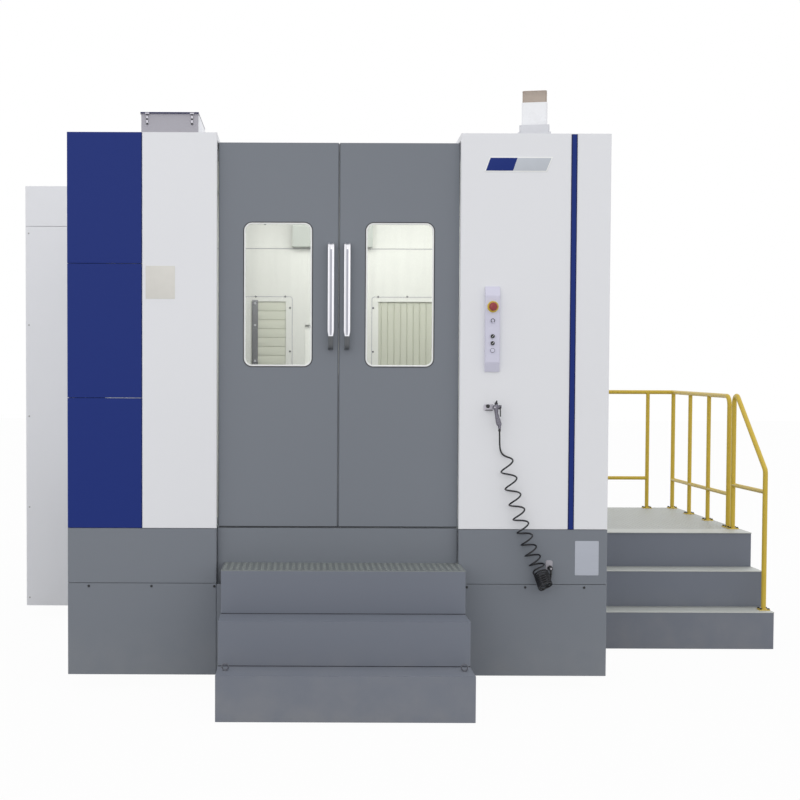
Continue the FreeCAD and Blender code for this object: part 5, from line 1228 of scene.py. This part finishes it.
class MACHINE_OT_rails(bpy.types.Operator):
    """Guardrails as round tubes carried along bent paths, with foot plates, weld beads and black bolts."""

    bl_idname = "machine.rails"
    bl_label = "Guardrails"

    def foot(self, x, y, z):
        """A foot plate with broken edges, and the weld bead round its post."""
        foot_plate = plate((0.074, 0.074), 0.006, 4, (x, y, z), 0.008, 0.0015, RIGHT, BACK)
        return joined(foot_plate, bead(circle(0.0190, 28), (x, y, z + 0.0078), 0.009, 0.004, RIGHT, BACK))

    def tube(self, radius, path, up=RIGHT):
        """A round tube along a path."""
        return swept(circle(radius, 24), path, up)

    def post(self, radius, foot, top):
        """An upright tube."""
        return self.tube(radius, [foot, (*foot[:2], top)])

    def guard(self, name, node, *shapes):
        """One guardrail in yellow paint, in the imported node's place."""
        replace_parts(keep(name, joined(*shapes), "yellow_paint"), node)

    def execute(self, context):
        access = context.scene.machine_access
        rail, post, middle = access.rail_radius, access.post_radius, access.middle_radius
        wall, x, second_x, stair_x = 1.600, 2.991, 2.770, 3.001
        back, third_y, fourth_y, end_y, stair_top_y, stair_low_y = 3.720, 3.202, 2.684, 2.166, 2.053, 1.380
        top, end_top, stair_top, back_mid, side_mid = 1.755, 1.735, 1.796, 1.012, 1.000
        stair_foot, stair_rail, stair_mid = 0.255, 0.972, 0.822
        corner, second = (x, back, deck_top), (second_x, back, deck_top)
        side_feet = [(x, y, deck_top) for y in (third_y, fourth_y, end_y)]
        upper, lower = (x, stair_top_y, deck_top), (stair_x, stair_low_y, stair_foot)
        cap = [(rail, 0.0), (rail * 0.92, 0.006), (rail * 0.7, 0.0115), (rail * 0.36, 0.0152), (0.0, 0.0165)]
        self.guard("back_rails", "back_guardrail", self.foot(*corner), self.foot(*second),
                   self.post(rail, corner, top), turned(cap, (x, back, top), UP, 24, False),
                   self.post(post, second, top), self.tube(rail, [(wall, back, top), (x, back, top)], UP),
                   self.tube(middle, [(wall, back, back_mid), (second_x, back, back_mid)], UP))
        run = rounded_path([(x, back, top), (x, end_y, end_top), side_feet[-1]], 0.070, 12)
        self.guard("side_rails", "side_guardrail", *[self.foot(*place) for place in side_feet],
                   self.tube(rail, run), self.post(post, side_feet[0], 1.748),
                   self.post(post, side_feet[1], 1.742),
                   self.tube(middle, [(x, back, side_mid), (x, end_y, side_mid)]))
        run = rounded_path([upper, (x, stair_top_y, stair_top),
                            (stair_x, stair_low_y, stair_foot + stair_rail), lower], 0.050, 12)
        level = stair_foot + stair_mid
        self.guard("stair_rails", "stair_handrail", self.foot(*upper), self.foot(*lower),
                   self.tube(rail, run),
                   self.tube(middle, [(x, stair_top_y, level), (stair_x, stair_low_y, level)]))
        bolt_reach, plate_top = 0.026, 0.008
        corners = [(i * bolt_reach, j * bolt_reach, plate_top) for i in (-1, 1) for j in (-1, 1)]
        feet = np.array([corner, second, *side_feet, upper, lower])
        black("rail_bolts", copies(hexagon_bolt(0.0140, 0.0085, 0.0095), feet[:, None] + corners))
        return {"FINISHED"}


class MACHINE_OT_eyes(bpy.types.Operator):
    """Lifting eyes on the first tread: a smooth ring on a collar."""

    bl_idname = "machine.eyes"
    bl_label = "Lifting eyes"

    def execute(self, context):
        y, ring_middle, ring_radius, steps = -0.6640, 0.2715, 0.017, 36
        collar = [(0.0120, 0.0), (0.0120, 0.003), (0.0098, 0.0046), (0.0060, 0.0056)]
        turn = around(steps)
        shapes = []
        for x in (-0.626, 0.680):
            path = np.column_stack([x + ring_radius * np.cos(turn), np.full(steps, y),
                                    ring_middle + ring_radius * np.sin(turn)])
            shapes += [swept(circle(0.0045, 14), path, BACK, closed=True),
                       turned(collar, (x, y, 0.250), UP, 28)]
        eyes = keep("lifting_rings", joined(*shapes), "grey_mark")
        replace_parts(eyes, "lifting_eyes")
        return {"FINISHED"}


# ---- Sides and rear ----
class MACHINE_OT_outer_walls(bpy.types.Operator):
    """The rear wall as screwed panels with louvres, and seam strips on the side walls: plain guesses."""

    bl_idname = "machine.outer_walls"
    bl_label = "Outer walls"

    edges = (-1.597, -0.802, -0.030, 0.742, 1.597)
    panel_face = 3.8895

    def louvre(self, x, z):
        """A pressed louvre: a quarter-round hood, long along X, whose reach falls to nothing at its ends by
        √(1 − s⁴)."""
        half_length, reach_most, steps = 0.14, 0.010, 5
        across = np.linspace(-1, 1, 17)
        turn = np.linspace(0, math.pi / 2, steps)
        reach = (reach_most * np.sqrt(1 - across**4))[:, None]
        out = self.panel_face + reach * np.sin(turn)
        height = z + 0.006 - reach * (1 - np.cos(turn)) * 1.4
        rings = np.stack([np.repeat(x + half_length * across[:, None], steps, 1), out, height], -1)
        inner = rings.copy()
        inner[..., 1] -= 0.0015
        inner[:, -1, 2] -= 0.001
        return loft(np.concatenate([rings, inner[:, ::-1]], 1))

    def rear_wall(self):
        """A backing sheet, and on it panels with rounded rims and a gap all round each."""
        levels, gap = (0.088, 0.955, 2.180, 3.247), 0.005
        backing = box((-wall_x, 3.860, plinth_foot), (wall_x, wall_back, wall_top))
        panels = [plate((right - left - gap, high - low - gap), 0.004, 4,
                        ((left + right) / 2, wall_back, (low + high) / 2), 0.0055, 0.003, LEFT)
                  for left, right in zip(self.edges, self.edges[1:])
                  for low, high in zip(levels, levels[1:])]
        return joined(backing, *panels)

    def execute(self, context):
        wall = white("rear_panels", self.rear_wall())
        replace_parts(wall, "rear_wall")
        outer = self.edges[-1]
        columns = [edge + side * 0.030 for edge in self.edges for side in (-1, 1)]
        heads = [(x, self.panel_face, z) for x in columns if abs(x) < outer
                 for z in (0.13, 0.52, 0.91, 1.00, 1.57, 2.13, 2.23, 2.72, 3.20)]
        keep("rear_screws", screws(PANEL_SCREW, heads, BACK), "zinc_steel_fastener")
        louvres = [self.louvre(x, z) for low, high in ((1.30, 1.80), (2.55, 2.90)) for x in (-1.20, 1.17)
                   for z in np.arange(low, high, 0.045)]
        white("rear_louvres", joined(*louvres))
        seams = [plate((0.030, 2.240), 0.003, 3, (x, y, 2.105), 0.0025, 0.001, right)
                 for x, right, places in ((-wall_x, FRONT, (1.02, 1.98)), (wall_x, BACK, (0.95, 1.86)))
                 for y in places]
        white("wall_seam_strips", joined(*seams))
        return {"FINISHED"}


# ---- Studio ----
class StudioSettings(bpy.types.PropertyGroup):
    """Levels of the studio's light, and the camera's place."""

    world_level: bpy.props.FloatProperty(name="Surrounding light",
                                         description="Strength of the world's light",
                                         min=0, default=1.06)
    overhead_power: power_setting("Overhead lamp", "Power of the lamp above", 34.0)
    front_power: power_setting("Front lamp", "Power of the lamp in front", 74.0)
    chamber_power: power_setting("Chamber lamp", "Power of the light in the chamber", 26.5)
    camera_place: bpy.props.FloatVectorProperty(name="Camera place", description="Where the camera stands",
                                                size=3, subtype="TRANSLATION", unit="LENGTH",
                                                default=(-0.5489, -9.5856, 1.8171))
    camera_tilt: angle_setting("Camera tilt", "How far the camera looks down", 0.0345)
    camera_roll: angle_setting("Camera roll", "How far the camera leans", 0.0036)
    lens: bpy.props.FloatProperty(name="Lens", description="Focal length on a 36 mm sensor",
                                  subtype="DISTANCE_CAMERA", default=61.17)


class MACHINE_OT_studio(bpy.types.Operator):
    """Floor, soft lamps, pale world and the camera at the photograph's viewpoint."""

    bl_idname = "machine.studio"
    bl_label = "Studio"

    def seen_rays(self, tree):
        """1 for the rays that should meet a white background: camera, glossy and transmission rays."""
        rays = add(tree, "ShaderNodeLightPath").outputs
        either = maths(tree, "MAXIMUM", rays["Is Camera Ray"], rays["Is Glossy Ray"])
        return maths(tree, "MAXIMUM", either, rays["Is Transmission Ray"])

    def world(self, settings):
        """White to the seen rays; the other rays meet the level that lights the object."""
        world = bpy.data.worlds.new("studio")
        bpy.context.scene.world = world
        world.use_nodes = True
        tree = world.node_tree
        tree.nodes.clear()
        lit = add(tree, "ShaderNodeBackground", {"Color": (1, 1, 1, 1), "Strength": settings.world_level})
        seen = add(tree, "ShaderNodeBackground", {"Color": (1, 1, 1, 1), "Strength": 1.0})
        mixed = add(tree, "ShaderNodeMixShader",
                    {0: self.seen_rays(tree), 1: lit.outputs[0], 2: seen.outputs[0]})
        end = add(tree, "ShaderNodeOutputWorld")
        tree.links.new(mixed.outputs[0], end.inputs[0])

    def floor(self):
        """A wide floor, almost white to the seen rays, that throws grey light."""
        size, height, seen_share = 60.0, -0.0005, 0.97
        corners = [(x, y, height) for x, y in ((-size, -size), (size, -size), (size, size), (-size, size))]
        mesh = bpy.data.meshes.new("studio_floor")
        mesh.from_pydata(corners, [], [(0, 1, 2, 3)])
        floor = bpy.data.objects.new("studio_floor", mesh)
        bpy.context.scene.collection.objects.link(floor)
        tree, shader, place = new_material("studio_floor")
        shader.inputs["Base Color"].default_value = (0.5, 0.5, 0.5, 1)
        shader.inputs["Roughness"].default_value = 0.9
        shader.inputs["Specular IOR Level"].default_value = 0.1
        glow = add(tree, "ShaderNodeEmission", {"Color": (1, 1, 1, 1), "Strength": 1.0})
        amount = maths(tree, "MULTIPLY", self.seen_rays(tree), seen_share)
        mixed = add(tree, "ShaderNodeMixShader", {0: amount, 1: shader.outputs[0], 2: glow.outputs[0]})
        tree.links.new(mixed.outputs[0], tree.nodes["Material Output"].inputs["Surface"])
        mesh.materials.append(finished("studio_floor"))

    def lamp(self, name, place, target, size, power):
        """A soft rectangle of light that faces its target."""
        data = bpy.data.lights.new(name, "AREA")
        data.shape = "RECTANGLE"
        data.size, data.size_y = size
        data.energy = power
        lamp = bpy.data.objects.new(name, data)
        bpy.context.scene.collection.objects.link(lamp)
        away = unit(np.subtract(place, target))
        right, up = square_to(away)
        turn = Matrix(np.column_stack([right, up, away]).tolist()).to_4x4()
        lamp.matrix_world = Matrix.Translation(place) @ turn

    def camera(self, settings):
        """The photograph's camera: level but for a slight tilt and lean, its view moved by lens shift."""
        data = bpy.data.cameras.new("photo_view")
        data.lens = settings.lens
        data.sensor_width = 36.0
        data.shift_x, data.shift_y = 0.1195, 0.0383
        data.clip_end = 200.0
        camera = bpy.data.objects.new("photo_view", data)
        bpy.context.scene.collection.objects.link(camera)
        tilt = Matrix.Rotation(math.pi / 2 - settings.camera_tilt, 4, "X")
        roll = Matrix.Rotation(settings.camera_roll, 4, "Z")
        camera.matrix_world = Matrix.Translation(settings.camera_place) @ tilt @ roll
        bpy.context.scene.camera = camera

    def execute(self, context):
        settings = context.scene.machine_studio
        self.world(settings)
        self.floor()
        middle = (0.0, 0.0, 1.7)
        self.lamp("overhead_lamp", (-0.5, -3.5, 7.5), middle, (9.0, 6.0), settings.overhead_power)
        self.lamp("front_lamp", (-3.0, -10.5, 4.5), middle, (7.0, 5.0), settings.front_power)
        x, y, z = datum + (0.325, 0.95, 3.12)
        self.lamp("chamber_lamp", (x, y, z), (x, y + 0.25, 1.0), (1.2, 2.05), settings.chamber_power)
        self.camera(settings)
        context.scene.view_settings.view_transform = "Standard"
        return {"FINISHED"}


# ---- The list that a user sees, and the run ----
steps = (
    MACHINE_OT_finishes, MACHINE_OT_air_gun, MACHINE_OT_hose, MACHINE_OT_door_trim, MACHINE_OT_handles,
    MACHINE_OT_screws, MACHINE_OT_plates, MACHINE_OT_controls, MACHINE_OT_roof, MACHINE_OT_chamber,
    MACHINE_OT_treads, MACHINE_OT_rails, MACHINE_OT_eyes, MACHINE_OT_outer_walls, MACHINE_OT_studio,
)
settings_groups = {
    "machine_finishes": FinishSettings,
    "machine_hose": HoseSettings,
    "machine_doors": DoorSettings,
    "machine_access": AccessSettings,
    "machine_studio": StudioSettings,
}


class MACHINE_PT_looks(bpy.types.Panel):
    """The sidebar's list of pieces and settings."""

    bl_label = "Machining centre"
    bl_idname = "MACHINE_PT_looks"
    bl_space_type = "VIEW_3D"
    bl_region_type = "UI"
    bl_category = "Machining centre"

    def draw(self, context):
        for step in steps:
            self.layout.operator(step.bl_idname)
        for name, settings in settings_groups.items():
            section = self.layout.box()
            for prop in settings.__annotations__:
                section.prop(getattr(context.scene, name), prop)


def register():
    for settings in settings_groups.values():
        bpy.utils.register_class(settings)
    for name, settings in settings_groups.items():
        setattr(bpy.types.Scene, name, bpy.props.PointerProperty(type=settings))
    for step in (*steps, MACHINE_PT_looks):
        bpy.utils.register_class(step)


def unregister():
    for step in (MACHINE_PT_looks, *reversed(steps)):
        bpy.utils.unregister_class(step)
    for name, settings in settings_groups.items():
        delattr(bpy.types.Scene, name)
        bpy.utils.unregister_class(settings)


def main():
    """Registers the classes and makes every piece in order."""
    register()
    for step in steps:
        area, name = step.bl_idname.split(".")
        getattr(getattr(bpy.ops, area), name)()


if __name__ == "__main__":
    main()
